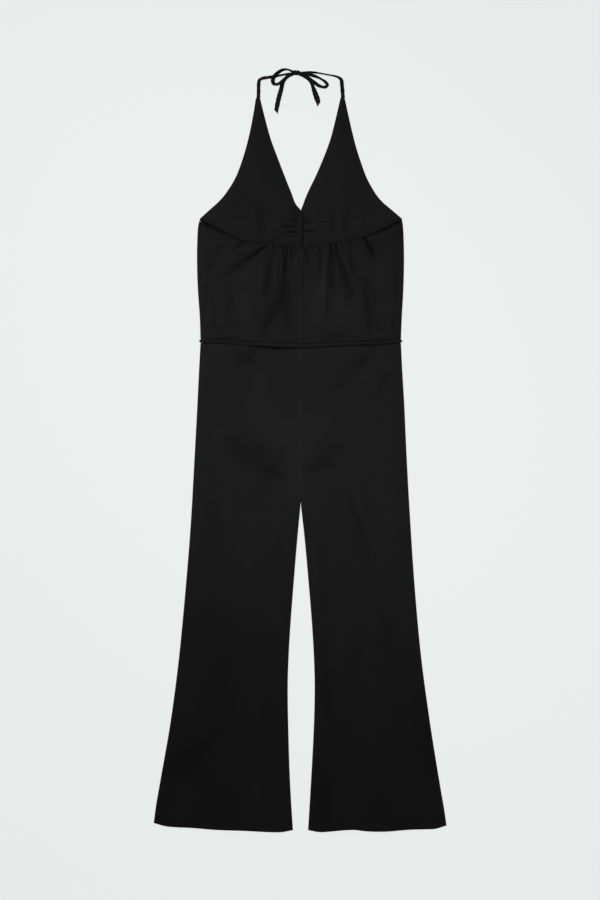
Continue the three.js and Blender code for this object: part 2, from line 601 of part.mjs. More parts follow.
// Neck ties. Each row of a route is a point on the middle of the tie, the tie's width there, and the
// direction across it: its bearing from +X and its tilt above the surface, in degrees
const KNOT = { x: -8, y: 823, z: 4.5, long: 11.5, wide: 5.2, high: 4.3, turn: -6 };
const TIES = {
  neck_tie_right: [
    { x: -87.8, y: 770.5, z: 0.95, w: 7.6, bearing: 0, tilt: 0 },
    { x: -87.3, y: 786, z: 0.95, w: 7.9, bearing: 0, tilt: 0 },
    { x: -87.1, y: 799, z: 1.6, w: 7.9, bearing: -8, tilt: 12 },
    { x: -85.4, y: 808, z: 2.1, w: 7.8, bearing: -42, tilt: 20 },
    { x: -79.2, y: 811.6, z: 2.4, w: 7.8, bearing: -72, tilt: 26 },
    { x: -70, y: 813.3, z: 2.4, w: 7.6, bearing: -80, tilt: 24 },
    { x: -58, y: 814.8, z: 2, w: 7, bearing: -82, tilt: 16 },
    { x: -46, y: 817, z: 2.6, w: 5.8, bearing: -81, tilt: 28 },
    { x: -36, y: 819, z: 2.9, w: 5.4, bearing: -82, tilt: 30 },
    { x: -27, y: 820.6, z: 3.14, w: 4.8, bearing: -83, tilt: 6 },
    { x: -19, y: 821.6, z: 3.1, w: 4.8, bearing: -84, tilt: 0 },
    { x: -8, y: 822.4, z: 3.2, w: 4.6, bearing: -84, tilt: 0 },
  ],
  neck_tie_left: [
    { x: 89.8, y: 770.6, z: 0.95, w: 8.2, bearing: 0, tilt: 0 },
    { x: 88.8, y: 786, z: 0.95, w: 8.4, bearing: 2, tilt: 0 },
    { x: 87.6, y: 799, z: 1.6, w: 8.4, bearing: 8, tilt: 12 },
    { x: 85.8, y: 809, z: 2.7, w: 8, bearing: 36, tilt: 28 },
    { x: 79.6, y: 814, z: 3.4, w: 7, bearing: 66, tilt: 50 },
    { x: 70, y: 816.8, z: 3.8, w: 6.4, bearing: 78, tilt: 66 },
    { x: 57, y: 819.2, z: 3.9, w: 6, bearing: 80, tilt: 70 },
    { x: 44, y: 821.6, z: 4, w: 5.8, bearing: 82, tilt: 68 },
    { x: 32, y: 823.4, z: 4.4, w: 5.2, bearing: 86, tilt: 46 },
    { x: 21, y: 824.2, z: 5.1, w: 4.8, bearing: 90, tilt: 6 },
    { x: 10, y: 823.6, z: 5.1, w: 4.8, bearing: 92, tilt: 0 },
    { x: -4, y: 822.8, z: 5.1, w: 4.6, bearing: 92, tilt: 0 },
  ],
  bow_loop_right: [
    { x: -8, y: 823.2, z: 6.7, w: 4.4, bearing: 80, tilt: 0 },
    { x: -17, y: 825.8, z: 7, w: 5.2, bearing: 84, tilt: 30 },
    { x: -24.5, y: 829, z: 7.4, w: 5.8, bearing: 92, tilt: 58 },
    { x: -33, y: 829.6, z: 7.4, w: 7, bearing: 104, tilt: 52 },
    { x: -42.5, y: 825.8, z: 7.4, w: 8.2, bearing: 122, tilt: 36 },
    { x: -50, y: 819.8, z: 7.2, w: 9, bearing: 132, tilt: 30 },
    { x: -55.8, y: 812.6, z: 6.9, w: 9.4, bearing: 152, tilt: 28 },
    { x: -57.4, y: 805, z: 6, w: 9.6, bearing: 180, tilt: 26 },
    { x: -54.8, y: 799.8, z: 5, w: 8.8, bearing: 222, tilt: 30 },
    { x: -48.6, y: 798.8, z: 4.6, w: 7.8, bearing: 268, tilt: 36 },
    { x: -42.2, y: 802, z: 4.4, w: 7.6, bearing: 306, tilt: 28 },
    { x: -35.2, y: 808.2, z: 4.6, w: 6.8, bearing: 316, tilt: 16 },
    { x: -27, y: 815.8, z: 5.05, w: 5.6, bearing: 312, tilt: 3 },
    { x: -18.5, y: 820.8, z: 5.05, w: 4.8, bearing: 300, tilt: 0 },
    { x: -8, y: 822.2, z: 5.05, w: 4.6, bearing: 285, tilt: 0 },
  ],
  bow_loop_left: [
    { x: -4, y: 822.4, z: 6.7, w: 4.4, bearing: 82, tilt: 0 },
    { x: 6, y: 821.4, z: 7, w: 5.6, bearing: 80, tilt: 3 },
    { x: 17, y: 819.4, z: 7.3, w: 7.8, bearing: 76, tilt: 10 },
    { x: 28, y: 816.6, z: 7.2, w: 7.2, bearing: 68, tilt: 28 },
    { x: 38, y: 812.8, z: 6.4, w: 6.8, bearing: 62, tilt: 50 },
    { x: 47, y: 808, z: 5.4, w: 6.8, bearing: 52, tilt: 54 },
    { x: 54.2, y: 802.4, z: 4.6, w: 7.8, bearing: 44, tilt: 42 },
    { x: 57.2, y: 797.2, z: 3.9, w: 8.4, bearing: 12, tilt: 34 },
    { x: 54, y: 793.8, z: 3.5, w: 8.2, bearing: -56, tilt: 34 },
    { x: 47, y: 793.4, z: 3.3, w: 7.8, bearing: -94, tilt: 34 },
    { x: 39.2, y: 796.2, z: 3, w: 7.8, bearing: -120, tilt: 20 },
    { x: 31.2, y: 801.6, z: 2.95, w: 8.2, bearing: -127, tilt: 8 },
    { x: 21.2, y: 808.8, z: 3.1, w: 8.4, bearing: -126, tilt: 2 },
    { x: 11, y: 815, z: 3.2, w: 7.4, bearing: -120, tilt: 0 },
    { x: 3, y: 818.8, z: 3.3, w: 5.4, bearing: -112, tilt: 0 },
    { x: -4, y: 821.2, z: 3.3, w: 4.6, bearing: -106, tilt: 0 },
  ],
  bow_tail_right: [
    { x: -8, y: 821.8, z: 1.55, w: 4, bearing: -70, tilt: 0 },
    { x: -18, y: 818.6, z: 1.15, w: 4.8, bearing: -64, tilt: 0 },
    { x: -26, y: 814.4, z: 1.15, w: 5.4, bearing: -56, tilt: 0 },
    { x: -33, y: 808, z: 1, w: 6.8, bearing: -42, tilt: 0 },
    { x: -37.2, y: 800, z: 0.95, w: 8.4, bearing: -24, tilt: 0 },
    { x: -39.8, y: 789.5, z: 0.95, w: 9.6, bearing: -14, tilt: 0 },
    { x: -43.2, y: 777, z: 0.95, w: 10, bearing: -14, tilt: 0 },
    { x: -46.2, y: 765, z: 0.95, w: 10, bearing: -13, tilt: 0 },
    { x: -48.8, y: 752, z: 0.95, w: 9.6, bearing: -11, tilt: 0 },
    { x: -50.8, y: 741.4, z: 0.95, w: 8.6, bearing: -10, tilt: 0 },
  ],
  bow_tail_left: [
    { x: -8, y: 821.6, z: 1.7, w: 4, bearing: 70, tilt: 0 },
    { x: 4, y: 817.4, z: 1.3, w: 5, bearing: 62, tilt: 0 },
    { x: 14, y: 811.6, z: 1.2, w: 5.4, bearing: 54, tilt: 0 },
    { x: 21.6, y: 804.4, z: 1, w: 5.8, bearing: 36, tilt: 0 },
    { x: 26, y: 796, z: 1, w: 7.4, bearing: 20, tilt: 0 },
    { x: 29.2, y: 787, z: 1.2, w: 9.6, bearing: 17, tilt: 4 },
    { x: 33, y: 776, z: 0.95, w: 11.4, bearing: 19, tilt: 0 },
    { x: 36.6, y: 766, z: 0.95, w: 11.2, bearing: 21, tilt: 0 },
    { x: 39.6, y: 757.4, z: 0.95, w: 9, bearing: 22, tilt: 0 },
  ],
};
const CUT_SLANT = { bow_tail_right: 0.8, bow_tail_left: -0.8 }; // the slant of a tail's cut end

// A flat tie swept along its route, with softened edges and its end cut on a slant
function tie(rows, count, slant = 0) {
  const radians = Math.PI / 180;
  const middle = new THREE.CatmullRomCurve3(rows.map((r) => new THREE.Vector3(r.x, r.y, r.z)));
  const across = new THREE.CatmullRomCurve3(
    rows.map((r) => {
      const level = Math.cos(r.tilt * radians);
      const bearing = r.bearing * radians;
      return new THREE.Vector3(
        level * Math.cos(bearing),
        level * Math.sin(bearing),
        Math.sin(r.tilt * radians),
      );
    }),
  );
  const widths = new THREE.CatmullRomCurve3(rows.map((r) => new THREE.Vector3(r.w, 0, 0)));
  const positions = [];
  const index = [];
  const half = TIE_THICK / 2;
  steps(count).forEach((t) => {
    const centre = middle.getPoint(t);
    const forward = middle.getTangent(t);
    const side = across.getPoint(t);
    side.addScaledVector(forward, -side.dot(forward)).normalize();
    const face = new THREE.Vector3().crossVectors(forward, side);
    const wide = widths.getPoint(t).x / 2;
    const soft = wide - half;
    const section = [
      [wide, half / 2],
      [soft, half],
      [-soft, half],
      [-wide, half / 2],
      [-wide, -half / 2],
      [-soft, -half],
      [soft, -half],
      [wide, -half / 2],
    ];
    for (const [a, b] of section) {
      const point = centre.clone().addScaledVector(side, a).addScaledVector(face, b);
      if (t === 1) point.addScaledVector(forward, slant * a);
      positions.push(...point.toArray());
    }
  });
  const sides = 8;
  for (let i = 0; i < count; i++)
    for (let j = 0; j < sides; j++) {
      const a = i * sides + j;
      const b = i * sides + ((j + 1) % sides);
      index.push(a, b, b + sides, a, b + sides, a + sides);
    }
  for (let j = 1; j < sides - 1; j++) {
    index.push(0, j + 1, j);
    index.push(count * sides, count * sides + j, count * sides + j + 1);
  }
  return facingOut(positions, index);
}

function knotShape(grow) {
  const shape = new THREE.SphereGeometry(1, 18, 12);
  shape.scale(KNOT.long + grow, KNOT.wide + grow, KNOT.high + grow);
  shape.rotateZ((KNOT.turn * Math.PI) / 180);
  shape.translate(KNOT.x, KNOT.y, KNOT.z);
  return shape;
}

function solidOf(geometry) {
  const bare = geometry.clone();
  bare.deleteAttribute("normal");
  bare.deleteAttribute("uv");
  const merged = mergeVertices(bare, 1e-4);
  return new wasm.Manifold(
    new wasm.Mesh({
      numProp: 3,
      vertProperties: merged.attributes.position.array,
      triVerts: new Uint32Array(merged.index.array),
    }),
  );
}

// A geometry with another cut out of it
function cutBy(geometry, tool) {
  const mesh = solidOf(geometry).subtract(solidOf(tool)).getMesh();
  const cut = new THREE.BufferGeometry();
  cut.setAttribute("position", new THREE.BufferAttribute(mesh.vertProperties, 3));
  cut.setIndex(new THREE.BufferAttribute(mesh.triVerts, 1));
  return cut;
}

const jumpsuit = new THREE.Group();
const cloth = { color: 0x191919, roughness: 0.9, metalness: 0 };
function add(name, geometry, finish = {}) {
  geometry.computeVertexNormals();
  const mesh = new THREE.Mesh(geometry, new THREE.MeshStandardMaterial({ ...cloth, ...finish }));
  mesh.name = name;
  jumpsuit.add(mesh);
}

for (const side of ["right", "left"]) {
  add(`cup_${side}`, cup(side));
  add(`midriff_front_${side}`, midriffFront(side));
  add(`trouser_front_${side}`, trouserFront(side));
  add(`bodice_back_${side}`, bodiceBack(side));
  add(`trouser_back_${side}`, trouserBack(side));
}
add("belt_front", belt(FRONT_LOW, BELT_RISE, 30, 4), { color: 0x161616 });
add("belt_back", belt(0, 0, 30, 1), { color: 0x161616 });
add("bow_knot", knotShape(0), { color: 0x161616 });
for (const [name, rows] of Object.entries(TIES)) {
  const ribbon = tie(rows, Math.round(1.7 * rows.length), CUT_SLANT[name]);
  add(name, cutBy(ribbon, knotShape(GAP)), { color: 0x161616 });
}

export default jumpsuit;
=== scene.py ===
import math

import bmesh
import bpy
import numpy as np
from bpy.props import FloatProperty, FloatVectorProperty, PointerProperty
from bpy.types import Operator, Panel, PropertyGroup
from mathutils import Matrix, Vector


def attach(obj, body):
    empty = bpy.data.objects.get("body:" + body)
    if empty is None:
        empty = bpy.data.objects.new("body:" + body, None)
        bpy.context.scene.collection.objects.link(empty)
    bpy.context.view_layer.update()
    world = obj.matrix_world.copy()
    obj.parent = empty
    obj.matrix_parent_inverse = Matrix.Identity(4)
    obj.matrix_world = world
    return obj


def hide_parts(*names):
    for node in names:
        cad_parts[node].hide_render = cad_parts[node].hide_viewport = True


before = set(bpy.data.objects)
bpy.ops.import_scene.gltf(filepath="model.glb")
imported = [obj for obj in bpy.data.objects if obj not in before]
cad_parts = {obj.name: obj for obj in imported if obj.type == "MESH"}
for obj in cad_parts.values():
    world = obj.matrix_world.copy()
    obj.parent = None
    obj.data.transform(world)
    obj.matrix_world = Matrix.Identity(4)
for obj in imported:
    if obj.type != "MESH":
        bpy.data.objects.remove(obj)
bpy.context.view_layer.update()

bl_info = {
    "name": "Halter-neck jumpsuit, laid flat",
    "version": (1, 0, 0),
    "blender": (4, 5, 0),
    "location": "View3D > Sidebar > Jumpsuit",
    "description": "Cloth shells, ties and sewing on the solids of a black halter-neck jumpsuit",
    "category": "Mesh",
}

BODY = "root"
MM = 0.001

# The photograph's frame, as millimetres on the surface that the garment lies on
PHOTO_SCALE = 2.1
PHOTO_TALL = 900 * PHOTO_SCALE
PHOTO_MIDDLE = (-0.4, 31.5)

# Heights above the surface and cloth sizes, in millimetres
FRONT_TOP = 2.7
BACK_TOP = 1.2
CROTCH_Y = -76.0
V_POINT_Y = 533.0
HEM_DEEP = 10.0
EDGE_STITCH = 4.5
ALLOWANCE_BUST = 15.0
ALLOWANCE_BELOW = 10.0
ALLOWANCE_RAISE = 0.55
SEAM_REACH = 0.55
CUP_LOFT = 3.4
MIDRIFF_LOFT = 3.6
LEG_LOFT = 2.4
# Past this distance from the centre front the underbust seam has no gathers
UNGATHERED_FROM = 120.0
# Distances from an edge of a panel to the lines of points that round it
EDGE_LINES = (0, 0.35, 0.8, 1.4, 2.2, 3.3, 4.6)

# Gathers: x and y where a crease leaves its seam, x and y where it fades out, how wide, how deep
UNDERBUST_GATHERS = [
    (-143, 472, -156, 477, 2.4, 0.8),
    (-121, 468, -139, 448, 2.6, 1.9),
    (-111, 470, -113, 458, 1.9, 1.0),
    (-104, 468, -105, 454, 1.7, 0.9),
    (-95, 466, -96, 447, 1.8, 1.3),
    (-85, 465, -87, 456, 1.8, 0.9),
    (-72, 458, -166, 390, 5.2, 2.4),
    (-64, 456, -66, 443, 1.8, 1.1),
    (-55, 458, -57, 439, 1.9, 1.5),
    (-49, 457, -50, 437, 1.9, 1.5),
    (-42, 458, -43, 447, 1.6, 0.8),
    (-36, 458, -32, 424, 2.3, 2.3),
    (-27, 458, -30, 405, 2.7, 3.3),
    (-18, 456, -16, 424, 2.3, 2.0),
    (-6, 455, -10, 433, 2.2, 1.6),
    (10, 457, 18, 416, 2.6, 2.4),
    (19, 457, 18, 439, 2.0, 1.6),
    (28, 456, 29, 445, 2.0, 1.0),
    (40, 458, 47, 430, 2.2, 1.8),
    (58, 461, 58, 447, 1.8, 1.0),
    (65, 462, 69, 414, 3.4, 2.7),
    (75, 463, 80, 426, 3.2, 3.0),
    (87, 465, 92, 447, 2.0, 1.2),
    (98, 469, 98, 456, 1.7, 1.5),
    (103, 470, 103, 456, 1.6, 1.4),
    (108, 471, 109, 437, 2.1, 1.8),
    (116, 472, 118, 460, 1.8, 1.2),
    (122, 474, 123, 460, 1.7, 1.1),
    (129, 476, 132, 460, 1.9, 1.4),
    (134, 480, 156, 432, 3.6, 4.2),
    (156, 477, 157, 466, 1.8, 1.0),
]
CENTRE_GATHERS = [
    (-6, 518, -24, 537, 2.6, 1.5),
    (-4, 507, -30, 517, 2.4, 1.7),
    (-7, 500, -42, 499, 2.8, 2.5),
    (-8, 488, -34, 488, 2.3, 2.1),
    (-7, 480, -26, 479, 2.0, 1.0),
    (-6, 526, -15, 543, 2.2, 1.2),
    (9, 516, 21, 516, 2.2, 1.7),
    (8, 506, 30, 512, 2.9, 2.8),
    (9, 497, 23, 497, 2.0, 0.9),
    (9, 489, 36, 490, 2.4, 2.2),
    (9, 480, 23, 478, 2.0, 1.1),
    (9, 526, 17, 535, 2.0, 1.1),
]
# Soft folds fade at both ends: x and y of one end and the other, how wide, how high; troughs are below 0
MIDRIFF_FOLDS = [
    (-60, 449, -70, 338, 8, -2.3),
    (-51, 426, -50, 365, 4, 1.2),
    (-40, 435, -48, 374, 4, -1.1),
    (-30, 426, -34, 318, 7, -3.0),
    (-31, 436, -32, 398, 2.6, -3.2),
    (-28, 372, -84, 262, 14, -3.2),
    (-24, 392, -24, 268, 10, -2.0),
    (-80, 439, -82, 355, 6, 1.2),
    (-45, 346, -59, 292, 5, 0.8),
    (-112, 363, -110, 275, 14, 0.9),
    (-143, 391, -142, 317, 6, -1.0),
    (-158, 376, -135, 275, 9, -1.0),
    (-163, 464, -193, 401, 3.6, -1.0),
    (-190, 414, -203, 292, 4, -1.0),
    (-187, 298, -143, 259, 3.4, -1.7),
    (-177, 275, -135, 269, 5, 0.9),
    (-112, 404, -145, 384, 9, 0.5),
    (-93, 414, -147, 363, 8, 0.8),
    (-126, 452, -164, 426, 6, 0.8),
    (46, 441, 42, 393, 3.2, -1.9),
    (27, 439, 37, 414, 6, 1.1),
    (53, 447, 51, 300, 6.5, 3.0),
    (46, 380, 37, 285, 12, 1.9),
    (75, 370, 96, 285, 15, 1.5),
    (79, 443, 112, 345, 7.5, -3.0),
    (63, 443, 72, 345, 6.5, -2.0),
    (87, 449, 128, 345, 4.4, 2.0),
    (100, 445, 121, 386, 3.4, -1.9),
    (143, 466, 160, 430, 4.5, -2.6),
    (136, 400, 150, 270, 8, -2.4),
    (140, 384, 168, 338, 7, -1.6),
    (176, 426, 170, 346, 9, 0.7),
    (202, 410, 205, 334, 3.6, -1.0),
    (196, 317, 196, 262, 3.4, -1.2),
    (161, 309, 172, 275, 5, -0.6),
    (46, 269, 105, 267, 5, -1.0),
    (-8, 439, -9, 397, 6, 1.0),
    (8, 410, 6, 346, 8, -0.7),
    (109, 336, 117, 284, 10, 0.8),
    (153, 269, 201, 272, 3.6, 1.2),
]
CUP_FOLDS = [
    (-92, 556, -65, 464, 10, -1.5),
    (-78, 510, -55, 472, 7, 0.9),
    (-28, 487, -68, 460, 5, -1.3),
    (-45, 511, -26, 498, 4, -0.9),
    (69, 530, 68, 474, 6, -1.3),
    (82, 530, 83, 480, 5, 0.7),
    (76, 525, 78, 489, 4, -0.7),
    (99, 540, 97, 480, 7, -1.2),
    (37, 489, 44, 506, 5, -0.7),
    (21, 518, 75, 520, 3.2, -0.9),
    (27, 507, 73, 509, 3.2, -0.8),
    (25, 513, 73, 514, 3.6, 0.8),
    (134, 527, 134, 481, 9, -0.6),
    (-110, 640, -78, 567, 14, 0.8),
    (92, 657, 84, 565, 13, 0.8),
    (-152, 546, -105, 559, 12, -0.6),
    (151, 548, 111, 567, 12, -0.6),
    (-89, 724, -80, 640, 6, -0.5),
    (90, 729, 86, 640, 6, -0.5),
]
TROUSER_FOLDS = [
    (-82, 254, -131, 200, 15, -2.1),
    (-89, 244, -30, 239, 5, -0.9),
    (-80, 195, -80, 136, 12, 0.9),
    (-51, 153, -26, 74, 7, -0.6),
    (166, 240, 102, 193, 15, -1.9),
    (109, 200, 69, 153, 9, -1.6),
    (197, 208, 155, 132, 9, -1.1),
    (178, 220, 121, 166, 10, 0.6),
    (84, 237, 37, 195, 10, 0.5),
    (-98, 247, -6, 242, 6, -1.9),
    (130, 249, 180, 244, 5, -1.2),
    (-156, 54, -50, -30, 21, -1.6),
    (-101, 42, -38, -10, 13, -0.8),
    (-76, -6, -30, -36, 12, -1.3),
    (92, 46, 8, -27, 17, -1.4),
    (25, -10, 75, 6, 9, -0.8),
    (-93, 116, -32, 78, 8, -1.1),
    (-104, 141, -26, 40, 26, 1.9),
    (27, 108, 17, -8, 24, 2.0),
    (63, 116, 46, 52, 12, 0.9),
    (-185, 94, -147, -10, 12, 0.8),
    (109, -40, 157, -174, 6, 1.6),
    (98, -52, 142, -168, 8, -1.3),
    (121, -132, 155, -242, 11, -1.2),
    (168, -10, 193, -158, 12, 0.8),
    (-171, -74, -185, -220, 18, -0.6),
    (-135, -6, -156, -158, 14, 0.9),
    (-97, -94, -112, -240, 20, 0.9),
    (0, 100, 2, -135, 30, 1.6),
    (-40, -100, -62, -190, 14, 1.0),
    (-42, -116, -51, -284, 12, -0.8),
    (-176, -574, -285, -668, 25, -1.8),
    (-240, -672, -256, -768, 22, 2.0),
    (-158, -455, -180, -620, 27, -0.9),
    (-156, -363, -160, -483, 18, -0.5),
    (-84, -368, -89, -472, 16, -0.5),
    (-66, -494, -70, -640, 18, -0.6),
    (180, -300, 200, -440, 18, -0.9),
    (46, -360, 62, -540, 16, -0.8),
    (136, -400, 147, -600, 26, 0.9),
    (250, -465, 277, -690, 16, -1.0),
    (50, -610, 58, -775, 22, -1.7),
    (109, -640, 112, -762, 22, 0.7),
    (168, -660, 172, -762, 20, -0.7),
    (-95, -650, -95, -765, 20, 1.5),
    (-133, -690, -140, -762, 14, -0.5),
    (-40, 237, -32, 151, 9, -0.6),
    (69, -298, 96, -519, 16, 0.8),
    (46, -158, 63, -368, 10, -0.8),
    (-219, -368, -236, -536, 14, 0.8),
]
# The hidden back, seen from below: shallow creases of the same kind
BACK_FOLDS = [
    (-150, 430, -90, 300, 12, 0.8),
    (70, 446, 120, 330, 10, 0.9),
    (30, 440, 20, 300, 8, 0.6),
    (-60, 250, -150, 180, 11, 0.9),
    (60, 246, 170, 160, 12, 0.9),
    (-30, 60, -120, -10, 12, 1.0),
    (24, 40, 130, -40, 13, 1.0),
    (-60, -120, -150, -240, 13, 0.8),
    (90, -160, 170, -300, 14, 0.8),
    (-110, -380, -180, -520, 15, 0.7),
    (120, -420, 210, -560, 14, 0.8),
    (-150, -640, -250, -700, 14, 0.9),
    (90, -650, 120, -790, 16, 0.8),
]

# Neck ties: the middle of the tie, its width, and the way across it as a bearing from +X and a tilt
TIE_THICK = 1.5
KNOT = {"x": -8.0, "y": 823.0, "z": 4.5, "long": 11.5, "wide": 5.2, "high": 4.3, "turn": -6.0}
TIES = {
    "neck_tie_right": [
        (-87.8, 770.5, 0.95, 7.6, 0, 0),
        (-87.3, 786, 0.95, 7.9, 0, 0),
        (-87.1, 799, 1.6, 7.9, -8, 12),
        (-85.4, 808, 2.1, 7.8, -42, 20),
        (-79.2, 811.6, 2.4, 7.8, -72, 26),
        (-70, 813.3, 2.4, 7.6, -80, 24),
        (-58, 814.8, 2, 7, -82, 16),
        (-46, 817, 2.6, 5.8, -81, 28),
        (-36, 819, 2.9, 5.4, -82, 30),
        (-27, 820.6, 3.14, 4.8, -83, 6),
        (-19, 821.6, 3.1, 4.8, -84, 0),
        (-8, 822.4, 3.2, 4.6, -84, 0),
    ],
    "neck_tie_left": [
        (89.8, 770.6, 0.95, 8.2, 0, 0),
        (88.8, 786, 0.95, 8.4, 2, 0),
        (87.6, 799, 1.6, 8.4, 8, 12),
        (85.8, 809, 2.7, 8, 36, 28),
        (79.6, 814, 3.4, 7, 66, 50),
        (70, 816.8, 3.8, 6.4, 78, 66),
        (57, 819.2, 3.9, 6, 80, 70),
        (44, 821.6, 4, 5.8, 82, 68),
        (32, 823.4, 4.4, 5.2, 86, 46),
        (21, 824.2, 5.1, 4.8, 90, 6),
        (10, 823.6, 5.1, 4.8, 92, 0),
        (-4, 822.8, 5.1, 4.6, 92, 0),
    ],
    "bow_loop_right": [
        (-8, 823.2, 6.7, 4.4, 80, 0),
        (-17, 825.8, 7, 5.2, 84, 30),
        (-24.5, 829, 7.4, 5.8, 92, 58),
        (-33, 829.6, 7.4, 7, 104, 52),
        (-42.5, 825.8, 7.4, 8.2, 122, 36),
        (-50, 819.8, 7.2, 9, 132, 30),
        (-55.8, 812.6, 6.9, 9.4, 152, 28),
        (-57.4, 805, 6, 9.6, 180, 26),
        (-54.8, 799.8, 5, 8.8, 222, 30),
        (-48.6, 798.8, 4.6, 7.8, 268, 36),
        (-42.2, 802, 4.4, 7.6, 306, 28),
        (-35.2, 808.2, 4.6, 6.8, 316, 16),
        (-27, 815.8, 5.05, 5.6, 312, 3),
        (-18.5, 820.8, 5.05, 4.8, 300, 0),
        (-8, 822.2, 5.05, 4.6, 285, 0),
    ],
    "bow_loop_left": [
        (-4, 822.4, 6.7, 4.4, 82, 0),
        (6, 821.4, 7, 5.6, 80, 3),
        (17, 819.4, 7.3, 7.8, 76, 10),
        (28, 816.6, 7.2, 7.2, 68, 28),
        (38, 812.8, 6.4, 6.8, 62, 50),
        (47, 808, 5.4, 6.8, 52, 54),
        (54.2, 802.4, 4.6, 7.8, 44, 42),
        (57.2, 797.2, 3.9, 8.4, 12, 34),
        (54, 793.8, 3.5, 8.2, -56, 34),
        (47, 793.4, 3.3, 7.8, -94, 34),
        (39.2, 796.2, 3, 7.8, -120, 20),
        (31.2, 801.6, 2.95, 8.2, -127, 8),
        (21.2, 808.8, 3.1, 8.4, -126, 2),
        (11, 815, 3.2, 7.4, -120, 0),
        (3, 818.8, 3.3, 5.4, -112, 0),
        (-4, 821.2, 3.3, 4.6, -106, 0),
    ],
    "bow_tail_right": [
        (-8, 821.8, 1.55, 4, -70, 0),
        (-18, 818.6, 1.15, 4.8, -64, 0),
        (-26, 814.4, 1.15, 5.4, -56, 0),
        (-33, 808, 1, 6.8, -42, 0),
        (-37.2, 800, 0.95, 8.4, -24, 0),
        (-39.8, 789.5, 0.95, 9.6, -14, 0),
        (-43.2, 777, 0.95, 10, -14, 0),
        (-46.2, 765, 0.95, 10, -13, 0),
        (-48.8, 752, 0.95, 9.6, -11, 0),
        (-50.8, 741.4, 0.95, 8.6, -10, 0),
    ],
    "bow_tail_left": [
        (-8, 821.6, 1.7, 4, 70, 0),
        (4, 817.4, 1.3, 5, 62, 0),
        (14, 811.6, 1.2, 5.4, 54, 0),
        (21.6, 804.4, 1, 5.8, 36, 0),
        (26, 796, 1, 7.4, 20, 0),
        (29.2, 787, 1.2, 9.6, 17, 4),
        (33, 776, 0.95, 11.4, 19, 0),
        (36.6, 766, 0.95, 11.2, 21, 0),
        (39.6, 757.4, 0.95, 9, 22, 0),
    ],
}
CUT_SLANT = {"bow_tail_right": 0.8, "bow_tail_left": -0.8}


class JumpsuitCloth(PropertyGroup):
    colour: FloatVectorProperty(
        name="Cloth colour", description="Black crepe of the panels", subtype="COLOR", size=3,
        min=0, max=1, default=(0.0103, 0.0103, 0.0106),
    )
    trim: FloatVectorProperty(
        name="Trim colour", description="Black cloth of the belt and ties", subtype="COLOR", size=3,
        min=0, max=1, default=(0.0085, 0.0085, 0.0088),
    )
    roughness: FloatProperty(
        name="Roughness", description="How matte the crepe is", min=0, max=1, default=0.82,
        subtype="FACTOR",
    )
    sheen: FloatProperty(
        name="Sheen", description="Soft light that the fibres catch", min=0, max=1, default=0.05,
        subtype="FACTOR",
    )
    thick: FloatProperty(
        name="Cloth thickness", description="Thickness of one layer", min=0.0002, max=0.0012,
        default=0.0008, unit="LENGTH",
    )
    thread: FloatProperty(
        name="Thread pitch", description="From one thread of the weave to the next", min=0.0003,
        max=0.002, default=0.0008, unit="LENGTH",
    )


class JumpsuitStage(PropertyGroup):
    floor: FloatVectorProperty(
        name="Floor colour", description="Pale floor under the garment", subtype="COLOR", size=3,
        min=0, max=1, default=(0.823, 0.855, 0.847),
    )
    light: FloatProperty(
        name="Key light", description="Power of the large soft light beyond the neck", min=0, max=2000,
        default=4.9, unit="POWER",
    )
    fill: FloatProperty(
        name="Fill light", description="Even light from all round", min=0, max=2, default=0.112,
    )


def mix(a, b, share):
    return a + (b - a) * share


def puff(distance, reach):
    """0 at an edge, rising to 1 at that distance from it"""
    return 1 - (1 - np.clip(distance / reach, 0, 1)) ** 2


def ease(value):
    part = np.clip(value, 0, 1)
    return part * part * (3 - 2 * part)


def places_along(points):
    """How far along a run of points each of them lies, from 0 to 1"""
    lengths = np.linalg.norm(np.diff(points, axis=0), axis=1)
    return np.concatenate([[0], np.cumsum(lengths)]) / lengths.sum()


def curve_through(at, values):
    """A function from 0..1 to places on a smooth curve that has those values at those places"""
    slopes = np.gradient(values, at, axis=0)

    def place(t):
        t = np.clip(np.asarray(t, float), 0, 1)
        i = np.clip(np.searchsorted(at, t, side="right") - 1, 0, len(at) - 2)
        span = (at[i + 1] - at[i])[..., None]
        s = (t - at[i])[..., None] / span
        return (
            (2 * s**3 - 3 * s**2 + 1) * values[i]
            + (s**3 - 2 * s**2 + s) * span * slopes[i]
            + (3 * s**2 - 2 * s**3) * values[i + 1]
            + (s**3 - s**2) * span * slopes[i + 1]
        )

    return place


def smooth_line(points):
    points = np.asarray(points, float)
    return curve_through(places_along(points), points)


def rim(node):
    """The edge of a node's upper face, as one loop of plan points in millimetres"""
    shape = bmesh.new()
    shape.from_mesh(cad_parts[node].data)
    bmesh.ops.remove_doubles(shape, verts=shape.verts, dist=1e-6)
    shape.normal_update()
    lower = [face for face in shape.faces if face.normal.z < 0.2]
    bmesh.ops.delete(shape, geom=lower, context="FACES")
    edges = [edge for edge in shape.edges if len(edge.link_faces) == 1]
    beside = {}
    for edge in edges:
        a, b = edge.verts
        beside.setdefault(a, []).append(b)
        beside.setdefault(b, []).append(a)
    start = edges[0].verts[0]
    loop = [start]
    before, here = start, beside[start][0]
    while here != start:
        loop.append(here)
        onward = [vert for vert in beside[here] if vert != before]
        before, here = here, onward[0]
    plan = np.array([(vert.co.x, vert.co.y) for vert in loop]) / MM
    shape.free()
    return plan


